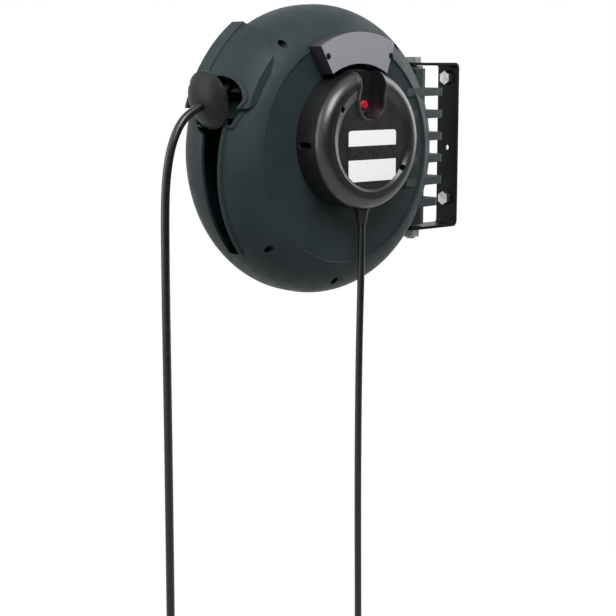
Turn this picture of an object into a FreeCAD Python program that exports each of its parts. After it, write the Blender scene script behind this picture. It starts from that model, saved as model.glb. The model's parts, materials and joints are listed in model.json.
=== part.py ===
import FreeCAD, Part

import math
import os

import Sketcher

# Wall-mounted spring-rewind cord reel.
# Row frame: the origin lies on the back face of the wall plate, midway between its two bolts.
# +X points into the wall, +Y away from the supply side of the reel, and +Z up.
# Reel pieces are drawn in the reel's own directions: across runs along +X, up along +Z,
# and front runs along -Y, out of the face that carries the hub cover.

document = FreeCAD.newDocument("cord_reel")
sheet = document.addObject("Spreadsheet::Sheet", "Sizes")
nodes = []
Vector = FreeCAD.Vector
Rotation = FreeCAD.Rotation

FACING_FRONT = Rotation(Vector(1, 0, 0), 90)
FACING_UP = Rotation()
FACING_OUT = Rotation(Vector(0, -1, 0), Vector(0, 0, 1), Vector(-1, 0, 0), "ZXY")
FACING_DOWN = Rotation(Vector(1, 0, 0), 180)


class Size:
    """A length with its number and the formula that binds a feature to the sheet."""

    def __init__(self, formula, number):
        self.formula = formula
        self.number = float(number)

    def join(self, sign, other, number, swapped=False):
        other_formula = other.formula if isinstance(other, Size) else repr(float(other))
        first, second = (other_formula, self.formula) if swapped else (self.formula, other_formula)
        return Size("(" + first + " " + sign + " " + second + ")", number)

    def __add__(self, other):
        return self.join("+", other, self.number + number_of(other))

    __radd__ = __add__

    def __sub__(self, other):
        return self.join("-", other, self.number - number_of(other))

    def __rsub__(self, other):
        return self.join("-", other, number_of(other) - self.number, swapped=True)

    def __mul__(self, other):
        return self.join("*", other, self.number * number_of(other))

    __rmul__ = __mul__

    def __truediv__(self, other):
        return self.join("/", other, self.number / number_of(other))

    def __neg__(self):
        return Size("(0 - " + self.formula + ")", -self.number)


def number_of(value):
    return value.number if isinstance(value, Size) else float(value)


def formula_of(value):
    return value.formula if isinstance(value, Size) else repr(float(value))


def root(value):
    return Size("sqrt(" + value.formula + ")", math.sqrt(value.number))


def sine(degrees):
    return Size("sin(" + formula_of(degrees) + " * 1 deg)", math.sin(math.radians(number_of(degrees))))


def cosine(degrees):
    return Size("cos(" + formula_of(degrees) + " * 1 deg)", math.cos(math.radians(number_of(degrees))))


def size(alias, number):
    """Write one driving dimension into the sheet and hand back its Size."""
    row = size.next_row
    size.next_row += 1
    sheet.set("A" + str(row), alias.replace("_", " "))
    sheet.set("B" + str(row), str(number))
    sheet.setAlias("B" + str(row), alias)
    return Size("Sizes." + alias, number)


size.next_row = 1

# Driving dimensions, in millimetres and degrees.
# Where the reel hangs: its swivel pin from the wall, and its axis below the middle of the bolts.
pivot_reach = size("pivot_reach", 58)
rim_past_pivot = size("rim_past_pivot", 0.5)
reel_drop = size("reel_drop", 5)

# Clearances.
pin_play = size("pin_play", 0.05)
moving_gap = size("moving_gap", 0.3)
screw_play = size("screw_play", 0.1)
shell_gap = size("shell_gap", 0.3)
flange_hole_play = size("flange_hole_play", 0.2)
bearing_play = size("bearing_play", 0.06)
barrel_play = size("barrel_play", 0.6)
button_play = size("button_play", 0.3)
winding_gap = size("winding_gap", 0.3)
lead_gap = size("lead_gap", 0.8)
cord_room = size("cord_room", 2)
contact_play = size("contact_play", 0.1)
# How far a cutting solid runs past what it cuts, near and far.
past = size("past", 1)
far_past = size("far_past", 20)

# Wall bracket and its bolts.
strap_width = size("strap_width", 28)
strap_thick = size("strap_thick", 3)
strap_bend = size("strap_bend", 6)
bracket_top = size("bracket_top", 81)
bracket_bottom = size("bracket_bottom", 95)
flange_past_pivot = size("flange_past_pivot", 14)
bolt_spacing = size("bolt_spacing", 130)
bolt_hole = size("bolt_hole", 9)
middle_hole = size("middle_hole", 6)
middle_hole_drop = size("middle_hole_drop", 10)
wall_bolt = size("wall_bolt", 8)
wall_bolt_length = size("wall_bolt_length", 12)
wall_bolt_neck = size("wall_bolt_neck", 8.4)
wall_bolt_flats = size("wall_bolt_flats", 13)
wall_bolt_head = size("wall_bolt_head", 5.5)

# Swivel pin and its bushes.
pivot_pin = size("pivot_pin", 10)
pivot_flats = size("pivot_flats", 16)
pivot_head = size("pivot_head", 6)
pivot_nut_height = size("pivot_nut_height", 8)
pivot_thread_past = size("pivot_thread_past", 2)
flange_play = size("flange_play", 0.5)
bush_wall = size("bush_wall", 3)
bush_length = size("bush_length", 20)
bush_flange = size("bush_flange", 2.5)
bush_flange_wide = size("bush_flange_wide", 3)

# Swivel arm.
rib_pitch = size("rib_pitch", 22.7)
rib_thick = size("rib_thick", 8)
rib_top = size("rib_top", 51.4)
rib_start = size("rib_start", 73)
rib_root = size("rib_root", 10)
rib_root_rise = size("rib_root_rise", 3.3)
rib_root_front = size("rib_root_front", 51)
rib_root_back = size("rib_root_back", 46)
rib_front = size("rib_front", 46)
rib_back = size("rib_back", 42)
rib_end = size("rib_end", 2.5)
rib_corner = size("rib_corner", 9)
low_rib_thick = size("low_rib_thick", 8)
low_rib_root = size("low_rib_root", 51)
low_rib_front = size("low_rib_front", 45)
low_rib_end = size("low_rib_end", -3)
column_radius = size("column_radius", 13.5)
column_start = size("column_start", 31)
column_inset = size("column_inset", 12)
gusset_run = size("gusset_run", 14)
gusset_rise = size("gusset_rise", 17)
gusset_bite = size("gusset_bite", 4)
gusset_thick = size("gusset_thick", 3)

# Housing shells.
housing_radius = size("housing_radius", 142.5)
shell_wall = size("shell_wall", 3)
parting = size("parting", 5)
rim_rear = size("rim_rear", 4)
front_depth = size("front_depth", 53)
front_shoulder = size("front_shoulder", 34.5)
front_step = size("front_step", 1.5)
front_step_wide = size("front_step_wide", 1)
back_depth = size("back_depth", 50)
back_shoulder = size("back_shoulder", 32.5)
axle_boss_radius = size("axle_boss_radius", 16)
axle_boss_end = size("axle_boss_end", 38)

# Shell screws, at their angles round the rim.
screw_inset = size("screw_inset", 15.5)
screw_one = size("screw_one", 53.2)
screw_two = size("screw_two", 125.8)
screw_three = size("screw_three", 224)
screw_four = size("screw_four", 266.8)
screw_boss = size("screw_boss", 6)
screw_radius = size("screw_radius", 2)
screw_seat = size("screw_seat", 32)
screw_end = size("screw_end", 25)
screw_head_radius = size("screw_head_radius", 3.6)
screw_head = size("screw_head", 3)
arm_screw_in = size("arm_screw_in", 12)
arm_screw_down = size("arm_screw_down", 4)
small_screw = size("small_screw", 1.5)
small_head = size("small_head", 3)
small_head_height = size("small_head_height", 2)
small_screw_bite = size("small_screw_bite", 5)
post_radius = size("post_radius", 4.5)

# Cord slot in the rim.
slot_top = size("slot_top", 34)
slot_top_rear = size("slot_top_rear", 5)
slot_top_width = size("slot_top_width", 24)
slot_bottom = size("slot_bottom", 95)
slot_bottom_rear = size("slot_bottom_rear", 0)
slot_bottom_width = size("slot_bottom_width", 15.5)
slot_depth = size("slot_depth", 100)
slot_lip = size("slot_lip", 2)
slot_lip_wide = size("slot_lip_wide", 3)

# Hood and mouth.
hood_height = size("hood_height", 9.5)
hood_rear = size("hood_rear", 17)
hood_edge = size("hood_edge", 1)
hood_step = size("hood_step", 1.2)
hood_face_fall = size("hood_face_fall", 23)
hood_face_arc = size("hood_face_arc", 80)
hood_front = size("hood_front", 47)
hood_top_across = size("hood_top_across", 88)
hood_top_up = size("hood_top_up", 134)
hood_side_across = size("hood_side_across", 96)
hood_side_up = size("hood_side_up", 70)
hood_corner_arc = size("hood_corner_arc", 34)
hood_bottom_across = size("hood_bottom_across", 124)
hood_bottom_up = size("hood_bottom_up", 44)
hood_side_arc = size("hood_side_arc", 140)
mouth_up = size("mouth_up", 47)
mouth_middle = size("mouth_middle", 16.5)
mouth_front = size("mouth_front", 16)
mouth_radius = size("mouth_radius", 27)
mouth_bottom = size("mouth_bottom", 29)
mouth_foot = size("mouth_foot", 34)
mouth_cheek = size("mouth_cheek", 43.5)
mouth_cheek_up = size("mouth_cheek_up", 53)
mouth_wall = size("mouth_wall", 2.5)
mouth_near = size("mouth_near", 85)
mouth_floor_in = size("mouth_floor_in", 27.5)
mouth_lip = size("mouth_lip", 1.6)

# Cords, plug and coupling.
cord_across = size("cord_across", 8)
lead_across = size("lead_across", 7)
lead_front = size("lead_front", 72)
lead_drop = size("lead_drop", 735)
tail_across = size("tail_across", -196)
tail_drop = size("tail_drop", 655)
tail_back = size("tail_back", 0.5)
plug_radius = size("plug_radius", 19)
plug_body = size("plug_body", 24)
plug_shoulder = size("plug_shoulder", 14)
plug_neck = size("plug_neck", 8)
plug_relief = size("plug_relief", 22)
plug_length = size("plug_length", 60)
pin_radius = size("pin_radius", 2.4)
pin_length = size("pin_length", 19)
pin_root = size("pin_root", 10)
pin_root_radius = size("pin_root_radius", 3)
pin_spacing = size("pin_spacing", 19)
socket_radius = size("socket_radius", 22)
socket_bore = size("socket_bore", 19.6)
socket_recess = size("socket_recess", 17.5)
relief_wall = size("relief_wall", 1)
socket_body = size("socket_body", 48)
socket_length = size("socket_length", 92)
contact_radius = size("contact_radius", 3.4)
contact_length = size("contact_length", 20)

# Rollers and stopper on the cord's way out.
guide_tilt = size("guide_tilt", 26.5)
guide_near = size("guide_near", 57)
guide_length = size("guide_length", 18.5)
guide_half = size("guide_half", 12.2)
guide_wall = size("guide_wall", 1.7)
roller_first = size("roller_first", 69)
roller_second = size("roller_second", 61)
roller_radius = size("roller_radius", 2.8)
roller_play = size("roller_play", 0.6)
roller_pin = size("roller_pin", 2.4)
stopper_along = size("stopper_along", 103.5)
stopper_tilt = size("stopper_tilt", 12)
stopper_radius = size("stopper_radius", 27.5)
stopper_depth = size("stopper_depth", 12.5)
stopper_rim = size("stopper_rim", 3)
stopper_nose = size("stopper_nose", 5.5)
stopper_neck = size("stopper_neck", 7)
stopper_neck_radius = size("stopper_neck_radius", 10)
stopper_screw_along = size("stopper_screw_along", 4)
stopper_screw_rise = size("stopper_screw_rise", 15)
stopper_screw_reach = size("stopper_screw_reach", 6)
stopper_room = size("stopper_room", 60)

# Axle and drum.
axle_radius = size("axle_radius", 7)
axle_play = size("axle_play", 0.05)
axle_rear = size("axle_rear", 58)
axle_front = size("axle_front", 80)
arbor_radius = size("arbor_radius", 10)
arbor_front = size("arbor_front", 7.2)
axle_nut_flats = size("axle_nut_flats", 19)
axle_nut_height = size("axle_nut_height", 7)
circlip_width = size("circlip_width", 3)
circlip_thick = size("circlip_thick", 1.2)
flange_radius = size("flange_radius", 112)
flange_thick = size("flange_thick", 2.5)
winding_width = size("winding_width", 36)
core_radius = size("core_radius", 56)
core_wall = size("core_wall", 4)
winding_radius = size("winding_radius", 101)
winding_pitch = size("winding_pitch", 8.7)
hub_bore = size("hub_bore", 9)
sleeve_wall = size("sleeve_wall", 5)
drum_bush_length = size("drum_bush_length", 13)
spring_case_radius = size("spring_case_radius", 62)
spring_case_depth = size("spring_case_depth", 30)
spring_case_wall = size("spring_case_wall", 2)
spring_cover_thick = size("spring_cover_thick", 1.5)
spring_turns = size("spring_turns", 9)
spring_strip = size("spring_strip", 0.8)
ratchet_radius = size("ratchet_radius", 90)
ratchet_tooth = size("ratchet_tooth", 4)
ratchet_teeth = size("ratchet_teeth", 24)
ratchet_thick = size("ratchet_thick", 5)
ratchet_ring_width = size("ratchet_ring_width", 10)
ratchet_phase = size("ratchet_phase", 9)
pawl_circle = size("pawl_circle", 102)
pawl_angle = size("pawl_angle", 60)
pawl_lift = size("pawl_lift", 55.2)
pawl_length = size("pawl_length", 16)
pawl_tip = size("pawl_tip", 2.2)
pawl_hub = size("pawl_hub", 4.5)
pawl_thick = size("pawl_thick", 4)
pawl_pin_radius = size("pawl_pin_radius", 2)
pawl_spring_radius = size("pawl_spring_radius", 2.9)
pawl_spring_wire = size("pawl_spring_wire", 0.8)
pawl_spring_pitch = size("pawl_spring_pitch", 1.3)

# Slip rings and brushes.
barrel_radius = size("barrel_radius", 18)
barrel_front = size("barrel_front", 75)
ring_height = size("ring_height", 2)
ring_width = size("ring_width", 3.5)
ring_pitch = size("ring_pitch", 6)
ring_offset = size("ring_offset", 6.5)
front_bush_outer = size("front_bush_outer", 22)
front_bush_flange = size("front_bush_flange", 3)
front_bush_collar = size("front_bush_collar", 1)
front_bush_out = size("front_bush_out", 2.5)
brush_width = size("brush_width", 3)
brush_length = size("brush_length", 12)
brush_bare = size("brush_bare", 3)
brush_holder_half = size("brush_holder_half", 14)
brush_holder_wall = size("brush_holder_wall", 3)
brush_holder_front = size("brush_holder_front", 3.5)

# Hub cover and what it holds.
hub_across = size("hub_across", -0.5)
hub_rise = size("hub_rise", 12.5)
hub_radius = size("hub_radius", 66.4)
hub_side = size("hub_side", 77)
hub_arc = size("hub_arc", 11.5)
hub_draft = size("hub_draft", 0.4)
hub_crest_radius = size("hub_crest_radius", 55.5)
hub_crest = size("hub_crest", 88)
hub_crown = size("hub_crown", 89.2)
dish_face = size("dish_face", 85.6)
dish_top = size("dish_top", 88.4)
dish_face_radius = size("dish_face_radius", 45.5)
dish_face_across = size("dish_face_across", 0.7)
dish_face_up = size("dish_face_up", 11)
dish_top_radius = size("dish_top_radius", 51.5)
dish_top_across = size("dish_top_across", 0.3)
dish_top_up = size("dish_top_up", 15)
hub_wall = size("hub_wall", 2.5)
hub_screw_circle = size("hub_screw_circle", 50)
hub_screw_one = size("hub_screw_one", 143)
hub_screw_two = size("hub_screw_two", 326)
hub_screw_seat = size("hub_screw_seat", 82)
notch_half = size("notch_half", 15.5)
notch_across = size("notch_across", -1.3)
notch_centre = size("notch_centre", 35.2)
notch_floor = size("notch_floor", 65)
notch_wall = size("notch_wall", 2.9)
notch_rim = size("notch_rim", 1)
side_notch = size("side_notch", 3.2)
side_notch_height = size("side_notch_height", 15)
side_notch_angle = size("side_notch_angle", 183)
side_notch_rise = size("side_notch_rise", 5)
gland_radius = size("gland_radius", 7.5)
gland_taper = size("gland_taper", 2.7)
gland_seat = size("gland_seat", 10)
gland_lip = size("gland_lip", 1)
relief_length = size("relief_length", 13)
relief_bottom = size("relief_bottom", 68)
cover_inner = size("cover_inner", 72.5)
cover_outer = size("cover_outer", 102.3)
cover_left_angle = size("cover_left_angle", 30)
cover_right_low = size("cover_right_low", 29.5)
cover_right_high = size("cover_right_high", 26)
cover_screw_circle = size("cover_screw_circle", 89.5)
cover_screw_left = size("cover_screw_left", 28)
cover_screw_right = size("cover_screw_right", 27)
cover_rear = size("cover_rear", 44)
cover_front = size("cover_front", 70)
cover_wall = size("cover_wall", 2.5)
cover_end_turn = size("cover_end_turn", 0.8)
label_width = size("label_width", 63)
label_height = size("label_height", 48.5)
label_corner = size("label_corner", 3.5)
label_thick = size("label_thick", 0.4)
label_across = size("label_across", 0.4)
label_up = size("label_up", -1.8)
label_inset = size("label_inset", 0.4)
button_across = size("button_across", 6.5)
button_up = size("button_up", 45.8)
button_radius = size("button_radius", 4.6)
button_dome = size("button_dome", 2)
button_stem = size("button_stem", 2.5)
button_travel = size("button_travel", 2)
button_proud = size("button_proud", 2.5)
collar_radius = size("collar_radius", 7.5)
collar_height = size("collar_height", 2)
breaker_half = size("breaker_half", 12)
breaker_corner = size("breaker_corner", 2)
breaker_depth = size("breaker_depth", 9)
breaker_neck = size("breaker_neck", 6)
terminal_across = size("terminal_across", -42)
terminal_length = size("terminal_length", 20)
terminal_drop = size("terminal_drop", 26)
terminal_height = size("terminal_height", 14)
terminal_depth = size("terminal_depth", 14)
terminal_screw = size("terminal_screw", 1.8)
terminal_screw_depth = size("terminal_screw_depth", 3)
document.recompute()

# Turns of the winding's outer layer and of the pawl's spring, in quarters.
winding_quarters = 12
pawl_spring_quarters = 12
# The width of a cross slot, as a share of the screw head's radius.
slot_share = 0.33
# How many of each there are.
full_ribs = 5
ring_count = 3
terminal_count = 3

# Places that several pieces share.
reel_reach = pivot_reach + rim_past_pivot + housing_radius
reel_x = -reel_reach
reel_z = -reel_drop
pivot_x = -pivot_reach
pivot_across = reel_reach - pivot_reach
winding_front = mouth_front + winding_width / 2
winding_rear = mouth_front - winding_width / 2
drum_front = winding_front + flange_thick
drum_rear = winding_rear - flange_thick
front_face = front_depth - front_step
guide_far = guide_near + guide_length
tail_front = mouth_front - tail_back
front_face_radius = housing_radius - front_shoulder
back_face_radius = housing_radius - back_shoulder
screw_circle = housing_radius - screw_inset
hood_reach = housing_radius + hood_height
mouth_floor = housing_radius - mouth_floor_in


def bind(target, prop, value):
    """Tie one property to the sheet."""
    target.setExpression(prop, formula_of(value))


def place(target, x=0, y=0, z=0, facing=FACING_UP):
    """Put an object at a point of the row frame, turned one of the named ways."""
    target.Placement = FreeCAD.Placement(Vector(number_of(x), number_of(y), number_of(z)), facing)
    bind(target, "Placement.Base.x", x)
    bind(target, "Placement.Base.y", y)
    bind(target, "Placement.Base.z", z)
    return target


def on_reel(target, across=0, up=0, front=0, facing=FACING_FRONT):
    """Put an object at a point given in the reel's directions, from the reel's axis."""
    return place(target, reel_x + across, -front, reel_z + up, facing)


def node(target, name):
    """Name a finished piece and list it for writing out."""
    target.Label = name
    nodes.append(target)
    return target


def cylinder(radius, length, angle=None):
    target = document.addObject("Part::Cylinder", "cylinder")
    bind(target, "Radius", radius)
    bind(target, "Height", length)
    if angle is not None:
        bind(target, "Angle", angle)
    return target


def box(length, width, height):
    target = document.addObject("Part::Box", "box")
    bind(target, "Length", length)
    bind(target, "Width", width)
    bind(target, "Height", height)
    return target


def reel_box(across, up, front):
    """A box between two values each way, in the reel's directions."""
    target = box(across[1] - across[0], front[1] - front[0], up[1] - up[0])
    return place(target, reel_x + across[0], -front[1], reel_z + up[0])


def cut(base, *tools):
    result = base
    for tool in tools:
        step = document.addObject("Part::Cut", "cut")
        step.Base = result
        step.Tool = tool
        result = step
    return result


def fuse(*pieces):
    result = document.addObject("Part::MultiFuse", "fuse")
    result.Shapes = list(pieces)
    return result


def common(*pieces):
    result = document.addObject("Part::MultiCommon", "common")
    result.Shapes = list(pieces)
    return result


def group(*pieces):
    """Several separate solids that share one node."""
    result = document.addObject("Part::Compound", "group")
    result.Links = list(pieces)
    return result


def tie(sketch, geometry, point, axis, value):
    """Hold one end of a line or arc at a distance from a sketch axis."""
    if isinstance(value, Size):
        kind = "DistanceX" if axis == "x" else "DistanceY"
        index = sketch.addConstraint(Sketcher.Constraint(kind, -1, 1, geometry, point, value.number))
        sketch.setExpression("Constraints[" + str(index) + "]", value.formula)
    elif value == 0:
        line = -2 if axis == "x" else -1
        sketch.addConstraint(Sketcher.Constraint("PointOnObject", geometry, point, line))
    else:
        kind = "DistanceX" if axis == "x" else "DistanceY"
        sketch.addConstraint(Sketcher.Constraint(kind, -1, 1, geometry, point, float(value)))


def draw(sketch, corners):
    """Draw a closed outline. A corner is (x, y), or (x, y, radius, side) where an arc of that
    radius runs on to the next corner, its centre to the left (1) or right (-1) of that way."""
    ends = []
    for index, corner in enumerate(corners):
        following = corners[(index + 1) % len(corners)]
        start = Vector(number_of(corner[0]), number_of(corner[1]), 0)
        end = Vector(number_of(following[0]), number_of(following[1]), 0)
        if len(corner) == 2:
            geometry = sketch.addGeometry(Part.LineSegment(start, end), False)
            ends.append((geometry, 1, 2))
            continue
        radius, side = corner[2], corner[3]
        chord = end - start
        half = chord.Length / 2
        away = Vector(-chord.y, chord.x, 0).normalize() * side
        centre = start + chord * 0.5 + away * math.sqrt(max(number_of(radius) ** 2 - half ** 2, 0))
        first, last = (start, end) if side == 1 else (end, start)
        angle_first = math.atan2(first.y - centre.y, first.x - centre.x)
        angle_last = math.atan2(last.y - centre.y, last.x - centre.x)
        circle = Part.Circle(centre, Vector(0, 0, 1), number_of(radius))
        geometry = sketch.addGeometry(Part.ArcOfCircle(circle, angle_first, angle_last), False)
        ends.append((geometry, 1, 2) if side == 1 else (geometry, 2, 1))
        index_radius = sketch.addConstraint(Sketcher.Constraint("Radius", geometry, number_of(radius)))
        sketch.setExpression("Constraints[" + str(index_radius) + "]", formula_of(radius))
    for index, corner in enumerate(corners):
        previous = ends[index - 1]
        current = ends[index]
        sketch.addConstraint(
            Sketcher.Constraint("Coincident", previous[0], previous[2], current[0], current[1]))
        tie(sketch, current[0], current[1], "x", corner[0])
        tie(sketch, current[0], current[1], "y", corner[1])


def origin_plane(body, role):
    return [feature for feature in body.Origin.OriginFeatures if feature.Role == role][0]


def sketch_on(body, role, corners, name, raised=None):
    sketch = body.newObject("Sketcher::SketchObject", name)
    sketch.AttachmentSupport = (origin_plane(body, role), [""])
    sketch.MapMode = "FlatFace"
    if raised is not None:
        bind(sketch, "AttachmentOffset.Base.z", raised)
    draw(sketch, corners)
    return sketch


def turned(corners, name="turned"):
    """A body turned about its own Z from an outline given as radius and height."""
    body = document.addObject("PartDesign::Body", name)
    sketch = sketch_on(body, "XZ_Plane", corners, name + "_outline")
    feature = body.newObject("PartDesign::Revolution", name + "_turn")
    feature.Profile = sketch
    feature.ReferenceAxis = (sketch, ["V_Axis"])
    feature.Angle = 360
    sketch.Visibility = False
    return body


def plate(corners, thick, name="plate", raised=None, role="XY_Plane"):
    """A body padded from an outline; on the XY plane it rises along its own Z."""
    body = document.addObject("PartDesign::Body", name)
    sketch = sketch_on(body, role, corners, name + "_outline", raised)
    feature = body.newObject("PartDesign::Pad", name + "_pad")
    feature.Profile = sketch
    bind(feature, "Length", thick)
    return body


def hexagon(flats, height):
    target = document.addObject("Part::Prism", "hexagon")
    target.Polygon = 6
    bind(target, "Circumradius", flats / math.sqrt(3))
    bind(target, "Height", height)
    return target


def rounded(left, right, low, high, radius):
    """Corners of a rectangle with rounded corners."""
    return [(left + radius, low), (right - radius, low, radius, 1), (right, low + radius),
            (right, high - radius, radius, 1), (right - radius, high), (left + radius, high, radius, 1),
            (left, high - radius), (left, low + radius, radius, 1)]


def disc(radius, rear, front, across=0, up=0):
    """A cylinder about an axis parallel to the reel's, between two distances to the front."""
    return on_reel(cylinder(radius, front - rear), across, up, rear)


def ring(inner, outer, rear, front, across=0, up=0, name="ring"):
    """A hollow cylinder about an axis parallel to the reel's."""
    outline = [(inner, 0), (outer, 0), (outer, front - rear), (inner, front - rear)]
    return on_reel(turned(outline, name), across, up, rear)


def outward(radius, near, far):
    """A cylinder about the mouth's axis, which runs straight out towards -X."""
    return on_reel(cylinder(radius, far - near), -near, mouth_up, mouth_middle, FACING_OUT)


def frustum(low, high):
    """A solid between two circles that need not share an axis, each (across, up, front, radius)."""
    circles = []
    for across, up, front, radius in (low, high):
        circle = document.addObject("Part::Circle", "circle")
        bind(circle, "Radius", radius)
        circles.append(on_reel(circle, across, up, front))
    target = document.addObject("Part::Loft", "frustum")
    target.Sections = circles
    target.Solid = True
    target.Ruled = True
    return target


def round_reel(distance, angle):
    """Across and up of a point at a distance and an angle from the reel's axis."""
    return distance * cosine(angle), distance * sine(angle)


# Directions of the cord's straight way out, from the winding through the rollers.
lead_distance = winding_radius + cord_across + lead_gap
lead_turn = math.radians(guide_tilt.number)
lead_out = Vector(-math.cos(lead_turn), 0, -math.sin(lead_turn))
lead_rise = Vector(-math.sin(lead_turn), 0, math.cos(lead_turn))
ALONG_LEAD = Rotation(Vector(0, -1, 0), lead_rise, lead_out, "ZXY")
ACROSS_LEAD = Rotation(lead_out, -lead_rise, Vector(0, -1, 0), "ZXY")
stopper_turn = math.radians(stopper_tilt.number)
stopper_out = Vector(-math.cos(stopper_turn), 0, -math.sin(stopper_turn))
stopper_rise = Vector(-math.sin(stopper_turn), 0, math.cos(stopper_turn))
ALONG_STOPPER = Rotation(Vector(0, -1, 0), stopper_rise, stopper_out, "ZXY")
ACROSS_STOPPER = Rotation(stopper_out, -stopper_rise, Vector(0, -1, 0), "ZXY")
UP_LEAD = Rotation(lead_out, Vector(0, -1, 0), lead_rise, "ZXY")


def on_lead(target, along=0, rise=0, across=0, facing=ALONG_LEAD):
    """Put an object on the cord's way out: along it, above it, and across it to the front."""
    distance = lead_distance + rise
    return on_reel(target, -(distance * sine(guide_tilt)) - along * cosine(guide_tilt),
                   distance * cosine(guide_tilt) - along * sine(guide_tilt), mouth_front + across, facing)


def on_stopper(target, along=0, rise=0, across=0, facing=ALONG_STOPPER):
    """Put an object by the stopper's own axis, which hangs less steeply than the cord through it."""
    back_across = -(lead_distance * sine(guide_tilt)) - stopper_along * cosine(guide_tilt)
    back_up = lead_distance * cosine(guide_tilt) - stopper_along * sine(guide_tilt)
    return on_reel(target, back_across - rise * sine(stopper_tilt) - along * cosine(stopper_tilt),
                   back_up + rise * cosine(stopper_tilt) - along * sine(stopper_tilt),
                   mouth_front + across, facing)


def lead_point(along, rise=0):
    """The same place as a plain point of the row frame, for a cord's route."""
    start = Vector(reel_x.number, -mouth_front.number, reel_z.number)
    return start + lead_rise * (lead_distance.number + rise) + lead_out * number_of(along)


# The wall bracket: one strap bent to a U, open towards the reel.
def wall_bracket():
    inner = strap_bend - strap_thick
    reach = pivot_reach + flange_past_pivot
    outline = [
        (-reach, -bracket_bottom), (-strap_bend, -bracket_bottom, strap_bend, 1),
        (0, -(bracket_bottom - strap_bend)), (0, bracket_top - strap_bend, strap_bend, 1),
        (-strap_bend, bracket_top), (-reach, bracket_top), (-reach, bracket_top - strap_thick),
        (-strap_bend, bracket_top - strap_thick, inner, -1),
        (-strap_thick, bracket_top - strap_bend), (-strap_thick, -(bracket_bottom - strap_bend), inner, -1),
        (-strap_bend, -(bracket_bottom - strap_thick)), (-reach, -(bracket_bottom - strap_thick)),
    ]
    strap = place(plate(outline, strap_width, "strap", role="XZ_Plane"), 0, strap_width / 2, 0)
    through_wall = Rotation(Vector(0, 1, 0), 90)
    holes = [place(cylinder(bolt_hole / 2, 3 * strap_thick), -2 * strap_thick, 0, height, through_wall)
             for height in (bolt_spacing / 2, -(bolt_spacing / 2))]
    holes.append(place(cylinder(middle_hole / 2, 3 * strap_thick), -2 * strap_thick, 0,
                       -middle_hole_drop, through_wall))
    pivot = place(cylinder(pivot_pin / 2 + flange_hole_play, bracket_top + bracket_bottom + 2 * past),
                  pivot_x, 0, -bracket_bottom - past)
    return cut(strap, *holes, pivot)


def wall_bolts():
    bolts = []
    for height in (bolt_spacing / 2, -(bolt_spacing / 2)):
        head = place(hexagon(wall_bolt_flats, wall_bolt_head), -strap_thick, 0, height,
                     Rotation(Vector(0, 1, 0), -90))
        neck = place(cylinder(wall_bolt_neck / 2, strap_thick), -strap_thick, 0, height,
                     Rotation(Vector(0, 1, 0), 90))
        thread = place(cylinder(wall_bolt / 2, wall_bolt_length - strap_thick), 0, 0, height,
                       Rotation(Vector(0, 1, 0), 90))
        bolts.append(fuse(head, neck, thread))
    return group(*bolts)


def pivot_bolt():
    head = place(hexagon(pivot_flats, pivot_head), pivot_x, 0, bracket_top)
    length = bracket_top + bracket_bottom + pivot_nut_height + pivot_thread_past
    shank = place(cylinder(pivot_pin / 2, length), pivot_x, 0, bracket_top - length)
    return fuse(head, shank)


def pivot_nut():
    nut = place(hexagon(pivot_flats, pivot_nut_height), pivot_x, 0, -bracket_bottom - pivot_nut_height)
    bore = place(cylinder(pivot_pin / 2, pivot_nut_height + 2 * past), pivot_x, 0,
                 -bracket_bottom - pivot_nut_height - past)
    return cut(nut, bore)


# Shell envelopes. Each is the outer form, or the room inside it a wall further in.
front_arc = ((housing_radius - front_face_radius) * (housing_radius - front_face_radius)
             + (front_depth - parting) * (front_depth - parting)) \
    / (2 * (housing_radius - front_face_radius))
back_arc = ((housing_radius - back_face_radius) * (housing_radius - back_face_radius)
            + (back_depth - rim_rear) * (back_depth - rim_rear)) \
    / (2 * (housing_radius - back_face_radius))


def front_form(grow=0):
    arc = front_arc + grow
    rise = front_depth - parting + grow
    face = housing_radius - front_arc + root(arc * arc - rise * rise)
    outline = [(0, parting), (housing_radius + grow, parting, arc, 1), (face, front_depth + grow),
               (face - front_step_wide, front_depth - front_step + grow),
               (0, front_depth - front_step + grow)]
    return on_reel(turned(outline, "front_form"))


def front_room():
    arc = front_arc - shell_wall
    rise = front_depth - front_step - shell_wall - parting
    face = housing_radius - front_arc + root(arc * arc - rise * rise)
    outline = [(0, parting), (housing_radius - shell_wall, parting, arc, 1),
               (face, parting + rise), (0, parting + rise)]
    return on_reel(turned(outline, "front_room"))


def back_form(grow=0, name="back_form"):
    arc = back_arc + grow
    rise = back_depth - rim_rear + grow
    face = housing_radius - back_arc + root(arc * arc - rise * rise)
    outline = [(0, -(rim_rear + rise)), (face, -(rim_rear + rise), arc, 1),
               (housing_radius + grow, -rim_rear), (housing_radius + grow, parting), (0, parting)]
    return on_reel(turned(outline, name))


# The swivel arm: ribs and a sleeve column, moulded half in each shell.
column_top = bracket_top - strap_thick - flange_play - bush_flange
column_bottom = bracket_bottom - strap_thick - flange_play - bush_flange
column_height = column_top + column_bottom


def rib(height, thick, corners):
    return place(plate(corners, thick, "rib"), pivot_x, 0, height - thick / 2)


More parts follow.
